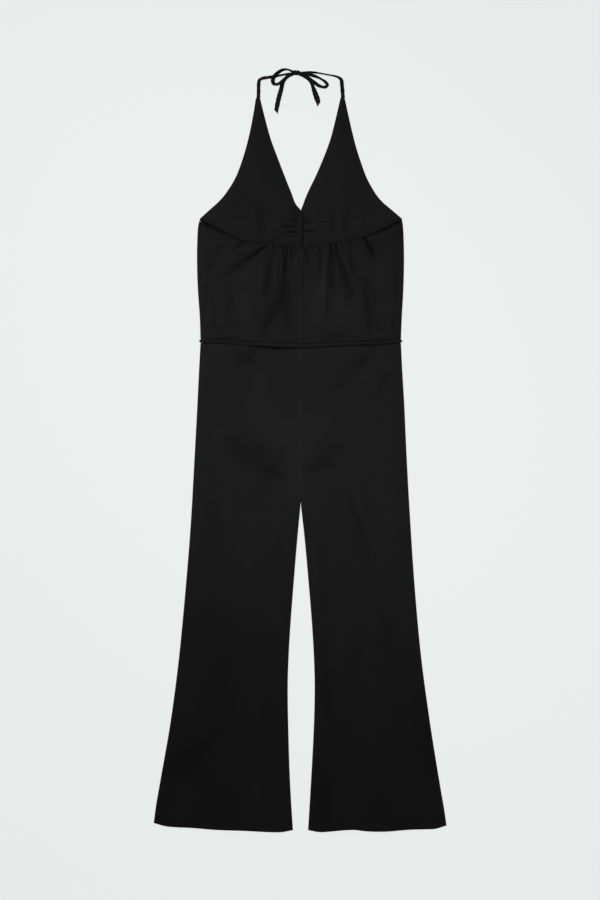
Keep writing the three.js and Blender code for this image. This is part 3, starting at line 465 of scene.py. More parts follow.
class Patch:
    """The plan of a panel, as a patch between the four edges of its solid"""

    CORNERS = {"top_inner": (-1, 1), "top_outer": (1, 1), "foot_outer": (3, -1), "foot_inner": (-3, -1)}

    def __init__(self, node):
        self.sign = -1 if node.endswith("right") else 1
        loop = rim(node)
        loop = np.roll(loop, -self.corner_places(loop)["top_inner"], axis=0)
        places = self.corner_places(loop)
        if places["top_outer"] > places["foot_inner"]:
            loop = np.roll(loop[::-1], 1, axis=0)
            places = self.corner_places(loop)
        outer, foot, inner = (places[name] for name in ("top_outer", "foot_outer", "foot_inner"))
        if not 0 < outer < foot < inner:
            raise RuntimeError(f"{node} has no four corners in order: {places}")
        self.top = smooth_line(loop[: outer + 1])
        self.outer = smooth_line(loop[outer : foot + 1])
        self.foot = smooth_line(loop[foot : inner + 1][::-1])
        self.inner = smooth_line(np.vstack([loop[inner:], loop[:1]])[::-1])
        self.width = np.linalg.norm(self.foot(1.0) - self.foot(0.0))
        self.length = np.linalg.norm(self.inner(1.0) - self.inner(0.0))

    def corner_places(self, loop):
        return {
            name: int(np.argmax(self.sign * loop[:, 0] * across + loop[:, 1] * up))
            for name, (across, up) in self.CORNERS.items()
        }

    def plan(self, u, v):
        """Plan points; u runs from the inner edge to the outer one and v from the top to the foot"""
        u1, v1 = u[..., None], v[..., None]
        corners = (
            (1 - u1) * (1 - v1) * self.top(0.0)
            + u1 * (1 - v1) * self.top(1.0)
            + (1 - u1) * v1 * self.foot(0.0)
            + u1 * v1 * self.foot(1.0)
        )
        sides = (1 - u1) * self.inner(v) + u1 * self.outer(v)
        ends = (1 - v1) * self.top(u) + v1 * self.foot(u)
        return sides + ends - corners

    def measure(self, u, v):
        """Plan points and the distance from each to the four edges"""
        here = self.plan(u, v)
        far = {
            "inner": self.inner(v),
            "outer": self.outer(v),
            "top": self.top(u),
            "foot": self.foot(u),
        }
        away = {name: np.linalg.norm(here - edge, axis=-1) for name, edge in far.items()}
        return here[..., 0], here[..., 1], away


def along_and_away(row, x, y):
    x0, y0, x1, y1 = row[:4]
    dx, dy = x1 - x0, y1 - y0
    along = np.clip(((x - x0) * dx + (y - y0) * dy) / (dx * dx + dy * dy), 0, 1)
    return along, np.hypot(x - x0 - along * dx, y - y0 - along * dy)


def soft_folds(folds, x, y):
    """Height of soft folds, each bending a little on its way, and painted shade: darker in a trough, and
    a painted highlight on a ridge
    """
    height = np.zeros_like(x)
    for row in folds:
        wide, high = row[4:]
        along, away = along_and_away(row, x, y)
        bend = 0.14 * wide * np.sin(3.1 * along + row[0] * 0.37 + row[1] * 0.11)
        height += high * np.sin(np.pi * along) ** 0.7 * np.exp(-(((away + bend) / wide) ** 2))
    return height, np.clip(-0.2 * height, -0.22, 0.55)


def gather_creases(gathers, x, y):
    """Height of the gathers, and painted shade that is darkest deep in a crease. The cloth puffs up
    beside each
    """
    height = np.zeros_like(x)
    shade = np.zeros_like(x)
    for row in gathers:
        wide, deep = row[4:]
        along, away = along_and_away(row, x, y)
        spread = wide * (0.8 + 0.9 * along)
        fade = 1 - along**2
        crease = np.exp(-((away / spread) ** 2))
        shoulder = np.exp(-(((away - 2 * spread) / spread) ** 2))
        height += deep * fade * (0.15 * shoulder - crease)
        shade = np.maximum(shade, min(deep / 2.2, 1) * (1 - along) ** 0.7 * crease)
    return height, shade


def crumple(x, y, seed, high, shortest=16.0, longest=70.0, count=14):
    """Faint uneven waves all over the cloth"""
    draw = np.random.default_rng(seed)
    height = np.zeros_like(x)
    for _ in range(count):
        wave = draw.uniform(shortest, longest)
        turn = draw.uniform(0, np.pi)
        phase = draw.uniform(0, 2 * np.pi)
        warp = 5 * np.sin((x * np.sin(turn) - y * np.cos(turn)) / (0.9 * wave) + phase)
        run = x * np.cos(turn) + y * np.sin(turn) + warp
        height += (wave / longest) * np.sin(2 * np.pi * run / wave + phase)
    return high * height / math.sqrt(count)


def pucker(run, away, high, reach=5.0, pitch=9.0):
    """Small uneven ripples beside a seam"""
    ripple = np.sin(2 * np.pi * run / pitch + 1.7 * np.sin(run / 23.0)) * (0.6 + 0.4 * np.sin(run / 41.0))
    return high * ripple * np.exp(-((away / reach) ** 2))


def near(away, wide):
    return np.exp(-((away / wide) ** 2))


def turned(away, drop, reach):
    """The rounded fall of cloth that turns down at an edge"""
    part = np.clip(1 - away / reach, 0, 1)
    return -drop * (1 - np.sqrt(1 - part * part))


def allowance(patch, y, away):
    """1 on the pressed seam allowance beside the centre seam, on the wearer's right, and 0 off it"""
    if patch.sign > 0:
        return np.zeros_like(y)
    width = mix(ALLOWANCE_BELOW, ALLOWANCE_BUST, ease((y - 440) / 20))
    return ease((width - away["inner"]) / 1.6 + 0.5) * (y > CROTCH_Y) * (y < V_POINT_Y)


def underbust(x):
    """Along the underbust seam: 1 out at the sides and 0 in its gathers, and how tightly it is caught"""
    outside = ease((np.abs(x) - UNGATHERED_FROM) / 60)
    return outside, 0.5 + 0.5 * np.sin(x / 3.1 + 1.4 * np.sin(x / 11))


def cup_form(patch, x, y, away):
    """Height of a cup's cloth, and its painted shade: darker in creases, along its seams and over the
    cups, lighter toward their tops
    """
    below_v = ease((V_POINT_Y + 4 - y) / 8)
    from_neck = np.where(y > V_POINT_Y, away["inner"], np.hypot(away["inner"], V_POINT_Y - y))
    loft = (
        CUP_LOFT
        * mix(1, mix(0.3, 1, puff(away["inner"], 14)), below_v)
        * mix(0.35, 1, puff(away["foot"], 15))
        * puff(np.minimum(from_neck + 2, away["outer"]), 34)
    )
    strip = allowance(patch, y, away)
    bare = ease((away["inner"] - 2) / 8) if patch.sign < 0 else 1.0
    gathers, shade = gather_creases(CENTRE_GATHERS, x, y)
    folds, dim = soft_folds(CUP_FOLDS, x, y)
    lift = loft + (folds + gathers * bare) * np.clip(loft, 0.25, 1)
    lift += 0.25 * ALLOWANCE_RAISE * strip + crumple(x, y, 11, 0.2) * np.clip(loft, 0, 1)
    lift += pucker(y, away["outer"], 0.14) + pucker(y, from_neck, 0.14)
    lift -= 0.2 * near(from_neck - EDGE_STITCH, 0.8) * (1 - below_v)
    lift -= 0.2 * near(away["outer"] - EDGE_STITCH, 0.8)
    step = ease((y - 494 - 25 * (x / 212) ** 2) / 16)
    edge = np.minimum(np.where(y > V_POINT_Y, away["inner"], 99), away["outer"])
    outside, uneven = underbust(x)
    rim_fall = np.minimum.reduce([
        turned(edge, 0.7, 2.0),
        turned(away["foot"], mix(0.2 + 0.3 * uneven, 1.3, outside), 3.0),
        turned(away["inner"], 0.9, 2.0) * below_v,
    ])
    # Painted shadow along the centre front seam below the V
    shade = np.maximum(shade * bare, 0.85 * near(away["inner"] - 0.5 * patch.sign, 1.6) * below_v)
    # Painted shadow along the underbust seam: strong out at the sides, faint and uneven in the gathers
    seam = mix(0.08 + 0.2 * uneven, 0.95, outside)
    shade = np.maximum(shade, seam * near(away["foot"], mix(3.0, 4.4, outside)))
    height = FRONT_TOP - 1.5 * step + np.maximum(lift, -0.7) + rim_fall
    # Painted shade over the cups, more on cup_right, and painted light toward the cups' tops
    painted_shading = 0.08 + 0.07 * (patch.sign < 0) - 0.08 * ease((y - 640) / 60)
    return np.maximum(height, 0.9), shade + dim + painted_shading


def midriff_form(patch, x, y, away):
    """Height of a midriff front's cloth, and its painted shade in creases, along seams and under the
    bust, with painted highlights beside the centre seam
    """
    loft = (
        MIDRIFF_LOFT
        * mix(0.42, 1, puff(away["top"], 16))
        * mix(0.45, 1, puff(away["foot"], 22))
        * mix(0.93, 1, puff(away["inner"], 6))
        * puff(away["outer"], 30)
    )
    strip = allowance(patch, y, away)
    gathers, shade = gather_creases(UNDERBUST_GATHERS, x, y)
    folds, dim = soft_folds(MIDRIFF_FOLDS, x, y)
    lift = loft + (folds + gathers) * np.clip(loft, 0, 1)
    lift += 0.6 * ALLOWANCE_RAISE * strip + crumple(x, y, 23, 0.3) * np.clip(loft, 0, 1)
    lift += pucker(y, away["outer"], 0.14) + pucker(y, away["inner"], 0.1, 3.0)
    outside, uneven = underbust(x)
    rim_fall = np.minimum.reduce([
        turned(away["top"], mix(0.2, 1.2, outside), 2.6),
        turned(away["foot"], 1.0, 3.2),
        turned(away["outer"], 0.9, 3.0),
    ])
    # Painted shadow along the underbust seam, strong out at the sides, and faint painted shade along the
    # foot at the belt
    seam = mix(0.06 + 0.2 * uneven, 0.9, outside)
    shade = np.maximum(shade, seam * near(away["top"], mix(1.8, 3.4, outside)))
    shade = np.maximum(shade, 0.25 * near(away["foot"], 1.2))
    # Painted highlight beside the centre seam on the wearer's right; the return value also paints the
    # allowance strip lighter
    pressed = 0.12 * near(away["inner"] - 2.5, 2.2) * (patch.sign < 0)
    height = FRONT_TOP + np.maximum(lift, -0.9) + rim_fall
    # Painted shade over the top of the midriff, under the bust
    painted_shade_under_bust = 0.04 + 0.15 * near(away["top"], 44)
    return np.maximum(height, 1.2), shade + dim + painted_shade_under_bust - 0.04 * strip - pressed


def trouser_form(patch, x, y, away):
    """Height of a trouser front's cloth, and its painted shade in creases, under the belt and toward the
    knees, with painted highlights beside the centre seam and at one hem
    """
    below = np.clip((CROTCH_Y - y) / 60, 0, 1)
    loft = (
        LEG_LOFT
        * mix(0.3, 1, puff(away["top"], 22))
        * mix(mix(0.86, 0.1, below), 1, puff(away["inner"], mix(7, 24, below)))
        * puff(away["outer"], 34)
    )
    strip = allowance(patch, y, away)
    folds, dim = soft_folds(TROUSER_FOLDS, x, y)
    lift = loft + folds * np.clip(loft, 0, 1) + 0.6 * ALLOWANCE_RAISE * strip
    lift += crumple(x, y, 37, 0.36, 24.0, 120.0) * np.clip(loft, 0, 1)
    lift += pucker(y, away["outer"], 0.13) + pucker(y, away["inner"], 0.1, 4.0)
    lift += 0.25 * (away["foot"] < HEM_DEEP) - 0.25 * near(away["foot"] - HEM_DEEP, 0.9)
    lift += pucker(x, away["foot"] - HEM_DEEP / 2, 0.22, 8.0, 31.0)
    edge = np.minimum(away["outer"], np.where(y < CROTCH_Y, away["inner"], 99))
    rim_fall = np.minimum.reduce([
        turned(edge, 0.9, 3.0),
        turned(away["top"], 1.0, 3.0),
        turned(away["foot"], 0.4, 1.2),
        turned(away["inner"], 0.06, 1.4) * (1 - below),
    ])
    # Painted shadow below the belt, widest and darkest where under_belt is 1
    under_belt = ease(1 - np.abs(x + 45) / 70)
    shade = mix(0.4, 0.85, under_belt) * near(away["top"], mix(1.3, 3.4, under_belt))
    # Painted highlight beside the centre seam on the wearer's right, above the crotch
    pressed = 0.3 * near(away["inner"] - 2.0, 2.0) * (1 - below) * (patch.sign < 0)
    height = FRONT_TOP + np.maximum(lift, -0.8) + rim_fall
    # Painted shade around the knees and a painted highlight at the hem of the wearer's right leg; the
    # return value also paints the allowance strip lighter
    painted_shading = 0.15 * near(y + 440 + 0.31 * x, 150) - 0.14 * near(y + 770, 70) * (patch.sign < 0)
    return np.maximum(height, 1.2), shade + dim + painted_shading - 0.06 * strip - pressed


def back_form(patch, x, y, away):
    """The back lies on the surface; its creases rise into the room under the front's folds"""
    room = 1.3 * puff(np.minimum(away["outer"], away["inner"] + 6), 40) * puff(away["foot"] + 4, 26)
    rise = soft_folds(BACK_FOLDS, x, y)[0] + np.abs(crumple(x, y, 53, 0.25, 24.0, 120.0))
    edge = 0.25 * (1 - puff(away["outer"], 3))
    return BACK_TOP - 0.3 + np.clip(rise, 0, 1) * room + edge, np.zeros_like(x)


def belt_form(low, rise):
    """Form of a belt that lies at a height and crowns by a rise, with an uneven painted shadow along the
    seam below it, a fainter painted shadow along its top and a painted highlight over its lower half
    """
    def form(patch, x, y, away):
        across = away["top"] / (away["top"] + away["foot"] + 1e-6)
        crown = np.clip(1 - (2 * across - 1) ** 2, 0, 1) ** 0.6
        wave = 0.3 * np.sin(x / 19 + 1.3 * np.sin(x / 31)) + 0.15 * np.sin(x / 7.3)
        crease = near(away["top"] - 5.2 - 0.8 * np.sin(x / 37), 0.9)
        # Painted shadow below the belt, wider where wide_part is 1, and a fainter uneven painted shadow
        # along its top
        wide_part = np.maximum(ease(1.3 - np.abs(x + 47) / 50), ease(1.4 - np.abs(x - 160) / 45))
        thick = mix(0.9, 2.6, wide_part)
        faint = 0.24 + 0.24 * np.sin(x / 26 + 0.8) + 0.08 * np.sin(x / 5.3)
        dark = mix(0.7, 0.95, wide_part)
        shade = np.maximum(faint * near(away["top"], 1.3), dark * near(away["foot"], thick))
        # Painted highlight along the belt's lower half
        shade -= 0.3 * near(away["foot"] - 3.8, 1.4) * ease(1.4 - np.abs(x + 10) / 90)
        return low + rise * (crown * (1 + 0.3 * wave) - 0.3 * crease), shade

    return form


class Field:
    """A shader value that Python's own arithmetic works on"""

    def __init__(self, finish, socket):
        self.finish = finish
        self.socket = socket

    def combine(self, operation, first, second):
        return self.finish.value("ShaderNodeMath", {"operation": operation}, {0: first, 1: second})

    def __add__(self, other):
        return self.combine("ADD", self, other)

    def __mul__(self, other):
        return self.combine("MULTIPLY", self, other)

    __radd__ = __add__
    __rmul__ = __mul__


class Finish:
    """A material under construction"""

    def __init__(self, name):
        self.material = bpy.data.materials.new(name)
        self.material.use_nodes = True
        self.tree = self.material.node_tree
        self.tree.nodes.clear()

    def node(self, kind, settings=None, sockets=None):
        made = self.tree.nodes.new(kind)
        for name, setting in (settings or {}).items():
            setattr(made, name, setting)
        for name, given in (sockets or {}).items():
            if isinstance(given, Field):
                given = given.socket
            if isinstance(given, bpy.types.NodeSocket):
                self.tree.links.new(given, made.inputs[name])
            else:
                made.inputs[name].default_value = given
        return made

    def value(self, kind, settings=None, sockets=None, output=0):
        return Field(self, self.node(kind, settings, sockets).outputs[output])

    def noise(self, where, scale, detail=2.0, roughness=0.5):
        sockets = {"Vector": where, "Scale": scale, "Detail": detail, "Roughness": roughness}
        return self.value("ShaderNodeTexNoise", None, sockets, "Fac")

    def end(self, surface):
        output = self.node("ShaderNodeOutputMaterial")
        self.tree.links.new(surface.outputs[0], output.inputs["Surface"])
        return self.material


def crepe(name, colour, grain=1.0):
    """Black crepe: crossing threads under a pebbled surface, matte, uneven by a few per cent, darkened by
    painted shade and lightened by painted highlights from the crease attribute
    """
    cloth = bpy.context.scene.jumpsuit_cloth
    finish = Finish(name)
    where = finish.node("ShaderNodeTexCoord").outputs["UV"]
    parts = finish.node("ShaderNodeSeparateXYZ", None, {0: where})
    turn = 2 * math.pi / cloth.thread

    def thread(axis):
        wave = Field(finish, parts.outputs[axis]) * turn
        return finish.value("ShaderNodeMath", {"operation": "SINE"}, {0: wave})

    pebble = finish.noise(where, 620 * grain, 2.0, 0.6)
    slub = finish.noise(where, 95 * grain, 3.0, 0.55)
    patch = finish.noise(where, 16, 2.0, 0.5)
    weave = thread("X") * thread("Y")
    height = pebble * 0.75 + weave * 0.16 + slub * 0.25
    bump = finish.value(
        "ShaderNodeBump", None, {"Strength": 0.45, "Distance": 0.0003, "Height": height}
    )
    shade = pebble * 0.35 + patch * 0.3 + slub * 0.35
    # The crease attribute is painted shade: at 1 the colour falls to deep, 0.12 of itself; below 0 it is
    # a painted highlight
    crease = finish.value("ShaderNodeAttribute", {"attribute_name": "crease"}, None, "Fac")
    deep = [0.12 * part for part in colour] + [1.0]
    dark = [0.8 * part for part in colour] + [1.0]
    light = [1.22 * part for part in colour] + [1.0]
    mixing = {"data_type": "RGBA", "clamp_factor": False}
    tint = finish.value("ShaderNodeMix", mixing, {"Factor": shade, 6: dark, 7: light}, 2)
    tint = finish.value("ShaderNodeMix", mixing, {"Factor": crease, 6: tint, 7: deep}, 2)
    surface = finish.node(
        "ShaderNodeBsdfPrincipled",
        None,
        {
            "Base Color": tint,
            "Roughness": pebble * 0.12 + (cloth.roughness - 0.06),
            "Normal": bump,
            "Specular IOR Level": 0.12,
            "Sheen Weight": cloth.sheen,
            "Sheen Roughness": 0.45,
        },
    )
    return finish.end(surface)


def thread_finish(name, colour):
    """Sewing thread: twisted plies, a little glossier than the cloth"""
    finish = Finish(name)
    where = finish.node("ShaderNodeTexCoord").outputs["Object"]
    ply = finish.noise(where, 2600, 2.0, 0.6)
    dark = [0.75 * part for part in colour] + [1.0]
    light = [1.35 * part for part in colour] + [1.0]
    tint = finish.value("ShaderNodeMix", {"data_type": "RGBA"}, {"Factor": ply, 6: dark, 7: light}, 2)
    bump = finish.value("ShaderNodeBump", None, {"Strength": 0.4, "Distance": 0.0001, "Height": ply})
    surface = finish.node(
        "ShaderNodeBsdfPrincipled",
        None,
        {"Base Color": tint, "Roughness": ply * 0.2 + 0.5, "Normal": bump, "Specular IOR Level": 0.35},
    )
    return finish.end(surface)


def finished(name, build):
    """The material of that name, built once"""
    return bpy.data.materials.get(name) or build(name)


def alone(piece):
    bpy.ops.object.select_all(action="DESELECT")
    piece.select_set(True)
    bpy.context.view_layer.objects.active = piece


def grid(name, columns, rows):
    """A flat grid, and each of its points as u across and v down, from 0 to 1"""
    bpy.ops.object.select_all(action="DESELECT")
    bpy.ops.mesh.primitive_grid_add(x_subdivisions=columns, y_subdivisions=rows, size=1)
    piece = bpy.context.active_object
    piece.name = piece.data.name = name
    flat = np.empty(3 * len(piece.data.vertices))
    piece.data.vertices.foreach_get("co", flat)
    flat = flat.reshape(-1, 3)
    return piece, np.clip(flat[:, 0] + 0.5, 0, 1), np.clip(0.5 - flat[:, 1], 0, 1)


def shape(piece, points):
    """Moves a mesh's points to places in millimetres"""
    piece.data.vertices.foreach_set("co", (np.asarray(points) * MM).ravel())
    piece.data.update()


def lay_threads(piece, across, down):
    """A UV map in metres of cloth, so that the weave follows the piece"""
    corners = np.empty(len(piece.data.loops), int)
    piece.data.loops.foreach_get("vertex_index", corners)
    threads = np.stack([across[corners], down[corners]], axis=1) * MM
    piece.data.uv_layers.active.data.foreach_set("uv", threads.ravel())


def apply(piece, kind, **settings):
    alone(piece)
    bpy.ops.object.modifier_add(type=kind)
    modifier = piece.modifiers[-1]
    for name, setting in settings.items():
        setattr(modifier, name, setting)
    bpy.ops.object.modifier_apply(modifier=modifier.name)


def smooth(piece):
    alone(piece)
    bpy.ops.object.shade_smooth()


def settle(piece, material, slot, *nodes):
    """Gives a piece its finish and body, and hides the solids that it stands for"""
    piece.data.materials.clear()
    piece.data.materials.append(material)
    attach(piece, BODY)
    if nodes:
        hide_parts(*nodes)


def spaced(count, length):
    """Places from 0 to 1 along a length, close together at both ends so that edges can round"""
    ends = np.array(EDGE_LINES) / length
    inside = np.linspace(ends[-1], 1 - ends[-1], count + 3 - 2 * len(ends))
    return np.concatenate([ends[:-1], inside, 1 - ends[-2::-1]])


def meet(patch, u, v, x, y):
    """Moves the outermost points out by the seam's reach, so that neighbours meet without a gap"""
    here = np.stack([x, y], axis=1)
    out = here.copy()
    step = 0.004
    for at_edge, inside in (
        (u == 0, (u + step, v)),
        (u == 1, (u - step, v)),
        (v == 0, (u, v + step)),
        (v == 1, (u, v - step)),
    ):
        away = here - patch.plan(*(np.clip(part, 0, 1) for part in inside))
        away /= np.maximum(np.linalg.norm(away, axis=1), 1e-9)[:, None]
        out[at_edge] += SEAM_REACH * away[at_edge]
    return out


def cloth_panel(node, columns, rows, form):
    """A thin cloth shell on the form of a node's solid"""
    patch = Patch(node)
    piece, u, v = grid(f"{node}_cloth", columns, rows)
    u = spaced(columns, patch.width)[np.rint(u * columns).astype(int)]
    v = spaced(rows, patch.length)[np.rint(v * rows).astype(int)]
    x, y, away = patch.measure(u, v)
    height, shade = form(patch, x, y, away)
    shape(piece, np.column_stack([meet(patch, u, v, x, y), height]))
    # The crease attribute holds the form's painted shade, and painted highlights where it is below 0
    crease = piece.data.attributes.new("crease", "FLOAT", "POINT")
    crease.data.foreach_set("value", shade)
    lay_threads(piece, patch.sign * u * patch.width, v * patch.length)
    if patch.sign < 0:
        alone(piece)
        bpy.ops.object.mode_set(mode="EDIT")
        bpy.ops.mesh.select_all(action="SELECT")
        bpy.ops.mesh.flip_normals()
        bpy.ops.object.mode_set(mode="OBJECT")
    thick = bpy.context.scene.jumpsuit_cloth.thick
    apply(piece, "SOLIDIFY", thickness=thick, offset=-1.0, use_quality_normals=True)
    smooth(piece)
    return piece


def dress(kind, columns, rows, form, material, slot):
    for side in ("right", "left"):
        node = f"{kind}_{side}"
        piece = cloth_panel(node, columns, rows, form)
        settle(piece, material, slot, node)


def cloth_finish():
    return finished("black crepe", lambda n: crepe(n, bpy.context.scene.jumpsuit_cloth.colour))


def trim_finish():
    return finished("black crepe trim", lambda n: crepe(n, bpy.context.scene.jumpsuit_cloth.trim, 1.3))


def sewing_finish():
    return finished("black thread", lambda n: thread_finish(n, (0.012, 0.012, 0.013)))


def tie_lines(rows):
    """Curves for a tie's middle, its way across and its width"""
    table = np.array(rows, float)
    bearing, tilt = np.radians(table[:, 4]), np.radians(table[:, 5])
    across = np.stack(
        [np.cos(tilt) * np.cos(bearing), np.cos(tilt) * np.sin(bearing), np.sin(tilt)], axis=1
    )
    at = places_along(table[:, :3])
    return tuple(curve_through(at, values) for values in (table[:, :3], across, table[:, 3:4]))


def in_knot(points):
    """How deep points lie in the knot: under 1 inside it and over 1 outside"""
    turn = math.radians(KNOT["turn"])
    x, y = points[:, 0] - KNOT["x"], points[:, 1] - KNOT["y"]
    along = x * math.cos(turn) + y * math.sin(turn)
    side = y * math.cos(turn) - x * math.sin(turn)
    up = points[:, 2] - KNOT["z"]
    return np.sqrt(
        (along / KNOT["long"]) ** 2 + (side / KNOT["wide"]) ** 2 + (up / KNOT["high"]) ** 2
    )


def free_stretch(middle, depth):
    """The part of a tie's route that lies outside the knot, down to that depth inside it"""
    t = np.linspace(0, 1, 600)
    out = np.nonzero(in_knot(middle(t)) > depth)[0]
    return t[out[0]], t[out[-1]]


class JUMPSUIT_OT_stage(Operator):
    """Sets up the camera straight above the garment, a pale floor and soft studio light"""

    bl_idname = "jumpsuit.stage"
    bl_label = "Stage"

    CAMERA_HEIGHT = 6.0
    SENSOR = 24.0
    FLOOR_SIZE = 60
    FLOOR_GLOW = 0.94
    # Soft lights: where each stands and aims, its size and spread, and its share of the light's power
    LIGHTS = (
        ("key_light", (-2.0, 2.4, 3.2), (0, 0.15, 0), 1.2, 26, 0.98),
        ("side_light", (3.2, 0.3, 2.8), (0, 0.08, 0), 1.6, 55, 0.34),
        ("top_light", (0, 0.05, 2.2), (0, 0.08, 0), 0.9, 90, 0.05),
    )

    def execute(self, context):
        stage = context.scene.jumpsuit_stage
        height, sensor = self.CAMERA_HEIGHT, self.SENSOR
        middle = [part * MM for part in PHOTO_MIDDLE]
        bpy.ops.object.camera_add(location=(*middle, height), rotation=(0, 0, 0))
        camera = context.active_object
        camera.name = "camera_above"
        camera.data.sensor_fit = "VERTICAL"
        camera.data.sensor_height = sensor
        camera.data.lens = sensor * height / (PHOTO_TALL * MM)
        camera.data.clip_end = 50
        context.scene.camera = camera

        bpy.ops.mesh.primitive_plane_add(size=self.FLOOR_SIZE, location=(0, 0, -0.0002))
        bpy.ops.object.transform_apply(location=True, rotation=False, scale=False)
        floor = context.active_object
        floor.name = "pale_floor"
        finish = Finish("pale floor")
        colour = [*stage.floor, 1.0]
        surface = finish.node(
            "ShaderNodeBsdfPrincipled",
            None,
            {
                "Base Color": [0.1 * part for part in stage.floor] + [1.0],
                "Roughness": 0.9,
                "Specular IOR Level": 0.1,
                "Emission Color": colour,
                "Emission Strength": self.FLOOR_GLOW,
            },
        )
        floor.data.materials.append(finish.end(surface))

        world = bpy.data.worlds.new("studio")
        world.use_nodes = True
        background = world.node_tree.nodes["Background"]
        background.inputs["Color"].default_value = (1, 1, 1, 1)
        background.inputs["Strength"].default_value = stage.fill
        context.scene.world = world
        for row in self.LIGHTS:
            self.light(stage.light, *row)
        context.scene.view_settings.view_transform = "Standard"
        return {"FINISHED"}

    def light(self, power, name, place, aim, size, spread, share):
        bpy.ops.object.light_add(type="AREA", location=place)
        lamp = bpy.context.active_object
        lamp.name = name
        lamp.data.energy = power * share
        lamp.data.size = size
        lamp.data.spread = math.radians(spread)
        lamp.rotation_euler = (Vector(aim) - lamp.location).to_track_quat("-Z", "Y").to_euler()


class JUMPSUIT_OT_ties(Operator):
    """Makes the neck ties and the bow's loops and tails, as flat turned ties of the same cloth"""

    bl_idname = "jumpsuit.ties"
    bl_label = "Neck ties and bow"

    # A tie's route, in millimetres near enough for its weave and ripples
    ROUTE_LONG = 110
    COLUMNS, ROWS = 20, 150
    # How deep in the knot a tie's cloth ends
    INTO_KNOT = 0.72

    def execute(self, context):
        for name, rows in TIES.items():
            self.tie(name, rows)
        return {"FINISHED"}

    def tie(self, name, rows):
        middle, across, width = tie_lines(rows)
        first, last = free_stretch(middle, self.INTO_KNOT)
        piece, u, v = grid(f"{name}_cloth", self.COLUMNS, self.ROWS)
        t = mix(first, last, v)
        centre = middle(t)
        forward = middle(np.minimum(t + 2e-3, 1)) - middle(np.maximum(t - 2e-3, 0))
        forward /= np.linalg.norm(forward, axis=1)[:, None]
        side = across(t)
        side -= (side * forward).sum(axis=1)[:, None] * forward
        side /= np.linalg.norm(side, axis=1)[:, None]
        face = np.cross(forward, side)
        angle = 2 * np.pi * u
        wide = width(t)[:, 0] / 2
        run = t * self.ROUTE_LONG
        out = np.sign(np.cos(angle)) * np.abs(np.cos(angle)) ** 0.55
        up = np.sign(np.sin(angle)) * np.abs(np.sin(angle)) ** 0.6
        dent = 1 - 0.3 * np.exp(-(((out - 0.25 * np.sin(run / 9)) / 0.35) ** 2))
        ripple = 1 + 0.05 * np.sin(run / 2.1 + 2 * np.sin(run / 11)) * np.abs(out)
        a = wide * out * ripple
        b = TIE_THICK / 2 * up * dent
        points = centre + side * a[:, None] + face * b[:, None]
        slant = CUT_SLANT.get(name, 0.0)
        end = ease((t - last + 0.12) / 0.12)
        points += forward * (slant * a * end)[:, None]
        points[:, 2] = np.maximum(points[:, 2], 0.05)
        shape(piece, points)
        lay_threads(piece, angle * 2.2, run)
        alone(piece)
        bpy.ops.object.mode_set(mode="EDIT")
        bpy.ops.mesh.select_all(action="SELECT")
        bpy.ops.mesh.remove_doubles(threshold=1e-6)
        bpy.ops.mesh.fill_holes(sides=0)
        bpy.ops.mesh.select_all(action="SELECT")
        bpy.ops.mesh.normals_make_consistent(inside=False)
        bpy.ops.object.mode_set(mode="OBJECT")
        smooth(piece)
        settle(piece, trim_finish(), "ties", name)
        start, stop = free_stretch(middle, 1.0)
        path = middle(np.linspace(start, stop, 60)) * MM
        mean_width = float(width(np.linspace(start, stop, 60)).mean())


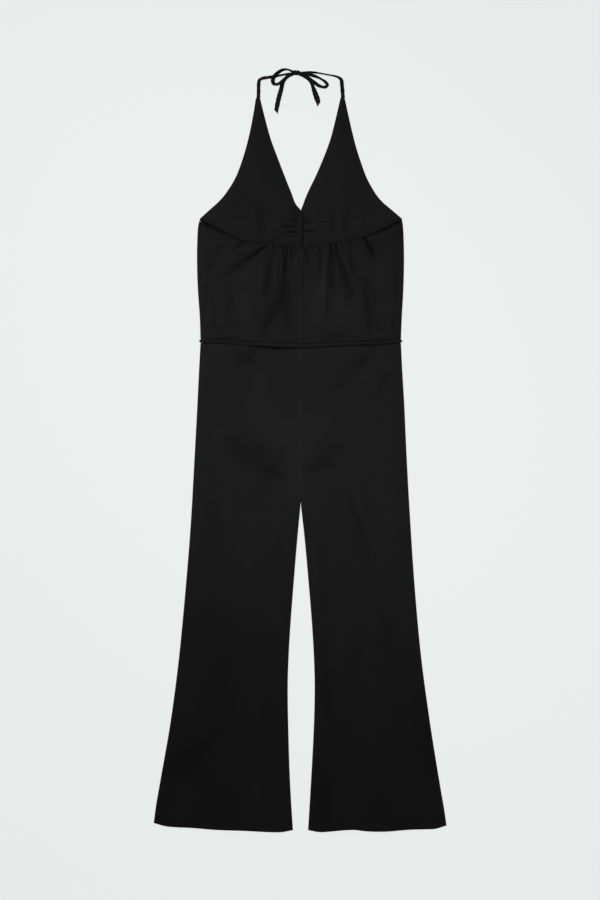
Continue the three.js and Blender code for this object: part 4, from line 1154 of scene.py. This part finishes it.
class JUMPSUIT_OT_knot(Operator):
    """Makes the knot, as turns of the tie wound slantwise over each other"""

    bl_idname = "jumpsuit.knot"
    bl_label = "Knot of the bow"

    # Each turn: how far along the knot, its slant in degrees, its width, and how far out it lies
    TURNS = [(-6.4, 14, 6.4, 0.1), (5.8, -18, 6.4, 0.1), (-1.2, -26, 7.0, 0.4), (1.4, 24, 6.4, 0.7)]

    def execute(self, context):
        parts = [self.core()]
        for along, slant, width, out in self.TURNS:
            parts.append(self.wrap(along, slant, width, out))
        bpy.ops.object.select_all(action="DESELECT")
        for part in parts:
            part.select_set(True)
        bpy.context.view_layer.objects.active = parts[0]
        bpy.ops.object.join()
        knot = bpy.context.active_object
        knot.name = knot.data.name = "bow_knot_cloth"
        smooth(knot)
        settle(knot, trim_finish(), "ties", "bow_knot")
        return {"FINISHED"}

    def place(self, piece, points):
        """Turns points about the knot's own middle into their place"""
        turn = math.radians(KNOT["turn"])
        x = points[:, 0] * math.cos(turn) - points[:, 1] * math.sin(turn) + KNOT["x"]
        y = points[:, 0] * math.sin(turn) + points[:, 1] * math.cos(turn) + KNOT["y"]
        z = np.maximum(points[:, 2] + KNOT["z"], 0.08)
        shape(piece, np.stack([x, y, z], axis=1))

    def core(self):
        piece, u, v = grid("knot_core", 40, 24)
        lengthways = np.cos(np.pi * v)
        ring = np.sin(np.pi * v)
        angle = 2 * np.pi * u
        lump = 1 + 0.06 * np.sin(3 * angle + 4 * lengthways)
        points = np.stack(
            [
                lengthways * KNOT["long"] * 0.97,
                ring * np.cos(angle) * (KNOT["wide"] - 0.3) * lump,
                ring * np.sin(angle) * (KNOT["high"] - 0.4) * lump,
            ],
            axis=1,
        )
        self.place(piece, points)
        lay_threads(piece, angle * 3, lengthways * 10)
        self.close(piece)
        return piece

    def wrap(self, along, slant, width, out):
        piece, u, v = grid("knot_turn", 16, 72)
        section, angle = 2 * np.pi * u, 2 * np.pi * v
        share = math.sqrt(max(1 - (along / KNOT["long"]) ** 2, 0.2))
        across = np.sign(np.cos(section)) * np.abs(np.cos(section)) ** 0.7 * width / 2
        thick = 0.62 * np.sin(section)
        lean = math.tan(math.radians(slant))
        radius_y = (KNOT["wide"] - 1.0) * share + out + thick
        radius_z = (KNOT["high"] - 0.9) * share + 0.5 * out + thick
        pinch = 1 - 0.25 * np.cos(2 * angle)
        y = radius_y * np.cos(angle)
        z = radius_z * np.sin(angle)
        x = along + lean * y + across * pinch
        self.place(piece, np.stack([x, y, z], axis=1))
        lay_threads(piece, across, angle * 5)
        self.close(piece)
        return piece

    def close(self, piece):
        alone(piece)
        bpy.ops.object.mode_set(mode="EDIT")
        bpy.ops.mesh.select_all(action="SELECT")
        bpy.ops.mesh.remove_doubles(threshold=2e-6)
        bpy.ops.mesh.normals_make_consistent(inside=False)
        bpy.ops.object.mode_set(mode="OBJECT")


class JUMPSUIT_OT_cups(Operator):
    """Makes the two halter cups, gathered at the centre front"""

    bl_idname = "jumpsuit.cups"
    bl_label = "Cups"

    def execute(self, context):
        dress("cup", 120, 200, cup_form, cloth_finish(), "cloth_front")
        return {"FINISHED"}


class JUMPSUIT_OT_midriff_fronts(Operator):
    """Makes the two midriff fronts, gathered into the underbust seam"""

    bl_idname = "jumpsuit.midriff_fronts"
    bl_label = "Midriff fronts"

    def execute(self, context):
        dress("midriff_front", 190, 170, midriff_form, cloth_finish(), "cloth_front")
        return {"FINISHED"}


class JUMPSUIT_OT_trouser_fronts(Operator):
    """Makes the two trouser fronts"""

    bl_idname = "jumpsuit.trouser_fronts"
    bl_label = "Trouser fronts"

    def execute(self, context):
        dress("trouser_front", 90, 360, trouser_form, cloth_finish(), "cloth_front")
        return {"FINISHED"}


class JUMPSUIT_OT_backs(Operator):
    """Makes the bodice backs and trouser backs, which lie on the surface"""

    bl_idname = "jumpsuit.backs"
    bl_label = "Backs"

    def execute(self, context):
        dress("bodice_back", 60, 60, back_form, cloth_finish(), "cloth_back")
        dress("trouser_back", 60, 200, back_form, cloth_finish(), "cloth_back")
        return {"FINISHED"}


class JUMPSUIT_OT_belts(Operator):
    """Makes the narrow belt in the waist seam, front and back"""

    bl_idname = "jumpsuit.belts"
    bl_label = "Belt"

    def execute(self, context):
        for node, low, rise in (("belt_front", 2.6, 1.6), ("belt_back", 0.9, 0.25)):
            piece = cloth_panel(node, 320, 18, belt_form(low, rise))
            settle(piece, trim_finish(), "belt", node)
        return {"FINISHED"}


class JUMPSUIT_OT_sewing(Operator):
    """Sews the hems, necklines and armholes with rows of small stitches"""

    bl_idname = "jumpsuit.sewing"
    bl_label = "Sewing"

    PITCH = 3.2
    LONG = 2.3
    THREAD = 0.22
    SUNK = 0.18
    NARROWEST = 60.0

    def execute(self, context):
        rows = []
        for side in ("right", "left"):
            rows.append(self.edge_row(f"trouser_front_{side}", "foot", HEM_DEEP, trouser_form))
            rows.append(self.edge_row(f"cup_{side}", "outer", EDGE_STITCH, cup_form))
            rows.append(self.edge_row(f"cup_{side}", "inner", EDGE_STITCH, cup_form, V_POINT_Y + 6))
        self.stitch("front_sewing", rows, "cloth_front")
        return {"FINISHED"}

    def edge_row(self, node, edge, inset, form, above=-math.inf):
        """Points of a row of stitches at an inset from one edge of a panel"""
        patch = Patch(node)
        across = patch.length if edge == "foot" else max(patch.width, self.NARROWEST)
        t = np.linspace(0.004, 0.996, 1200)
        share = np.zeros_like(t)
        for _ in range(4):
            u, v = self.uv(edge, t, share)
            x, y, away = patch.measure(u, v)
            share = share + 0.9 * (inset - away[edge]) / across
            share = np.clip(share, 0, 0.5)
        u, v = self.uv(edge, t, share)
        x, y, away = patch.measure(u, v)
        height, _ = form(patch, x, y, away)
        points = np.stack([x, y, height + 0.06], axis=1)
        keep = (y > above) & (np.abs(away[edge] - inset) < 1.5)
        return points[keep]

    @staticmethod
    def uv(edge, t, share):
        return {
            "foot": (t, 1 - share),
            "inner": (share, t),
            "outer": (1 - share, t),
        }[edge]

    def stitch(self, name, rows, slot):
        bpy.ops.object.select_all(action="DESELECT")
        bpy.ops.mesh.primitive_cylinder_add(
            vertices=6, radius=self.THREAD, depth=self.LONG, rotation=(0, math.pi / 2, 0)
        )
        model = bpy.context.active_object
        bpy.ops.object.transform_apply(location=False, rotation=True, scale=False)
        bpy.ops.object.mode_set(mode="EDIT")
        bpy.ops.mesh.select_all(action="SELECT")
        bpy.ops.mesh.subdivide(number_cuts=1)
        bpy.ops.object.mode_set(mode="OBJECT")
        form = np.array([vert.co[:] for vert in model.data.vertices])
        taper = 1 - 0.75 * np.abs(form[:, 0] / (self.LONG / 2)) ** 3
        form[:, 1:] *= taper[:, None]
        form[:, 2] -= self.SUNK * np.abs(form[:, 0] / (self.LONG / 2)) ** 2
        faces = [list(face.vertices) for face in model.data.polygons]
        bpy.data.objects.remove(model)
        points, polygons = [], []
        for row in rows:
            lengths = np.linalg.norm(np.diff(row, axis=0), axis=1)
            at = np.concatenate([[0], np.cumsum(lengths)])
            for where in np.arange(self.PITCH / 2, at[-1], self.PITCH):
                centre = np.array([np.interp(where, at, row[:, k]) for k in range(3)])
                ahead = np.array([np.interp(where + 1, at, row[:, k]) for k in range(3)])
                behind = np.array([np.interp(where - 1, at, row[:, k]) for k in range(3)])
                forward = (ahead - behind) / max(np.linalg.norm(ahead - behind), 1e-9)
                side = np.cross((0, 0, 1), forward)
                side /= np.linalg.norm(side)
                up = np.cross(forward, side)
                start = len(points) * len(form)
                points.append(centre + form @ np.stack([forward, side, up]))
                polygons.extend([[start + i for i in face] for face in faces])
        mesh = bpy.data.meshes.new(name)
        mesh.from_pydata(np.concatenate(points) * MM, [], polygons)
        piece = bpy.data.objects.new(name, mesh)
        bpy.context.collection.objects.link(piece)
        smooth(piece)
        settle(piece, sewing_finish(), slot)


class JUMPSUIT_PT_panel(Panel):
    """Lists the steps that dress the jumpsuit, with its colours and sizes"""

    bl_idname = "JUMPSUIT_PT_panel"
    bl_label = "Jumpsuit"
    bl_space_type = "VIEW_3D"
    bl_region_type = "UI"
    bl_category = "Jumpsuit"

    def draw(self, context):
        for settings in (context.scene.jumpsuit_cloth, context.scene.jumpsuit_stage):
            for name in settings.__annotations__:
                self.layout.prop(settings, name)
        for step in STEPS:
            self.layout.operator(step.bl_idname)


STEPS = (
    JUMPSUIT_OT_stage,
    JUMPSUIT_OT_ties,
    JUMPSUIT_OT_knot,
    JUMPSUIT_OT_cups,
    JUMPSUIT_OT_midriff_fronts,
    JUMPSUIT_OT_belts,
    JUMPSUIT_OT_trouser_fronts,
    JUMPSUIT_OT_backs,
    JUMPSUIT_OT_sewing,
)
CLASSES = (JumpsuitCloth, JumpsuitStage, *STEPS, JUMPSUIT_PT_panel)


def register():
    for cls in CLASSES:
        bpy.utils.register_class(cls)
    bpy.types.Scene.jumpsuit_cloth = PointerProperty(type=JumpsuitCloth)
    bpy.types.Scene.jumpsuit_stage = PointerProperty(type=JumpsuitStage)


def unregister():
    del bpy.types.Scene.jumpsuit_cloth
    del bpy.types.Scene.jumpsuit_stage
    for cls in reversed(CLASSES):
        bpy.utils.unregister_class(cls)


def main():
    register()
    for step in STEPS:
        group, name = step.bl_idname.split(".")
        getattr(getattr(bpy.ops, group), name)()


if __name__ == "__main__":
    main()
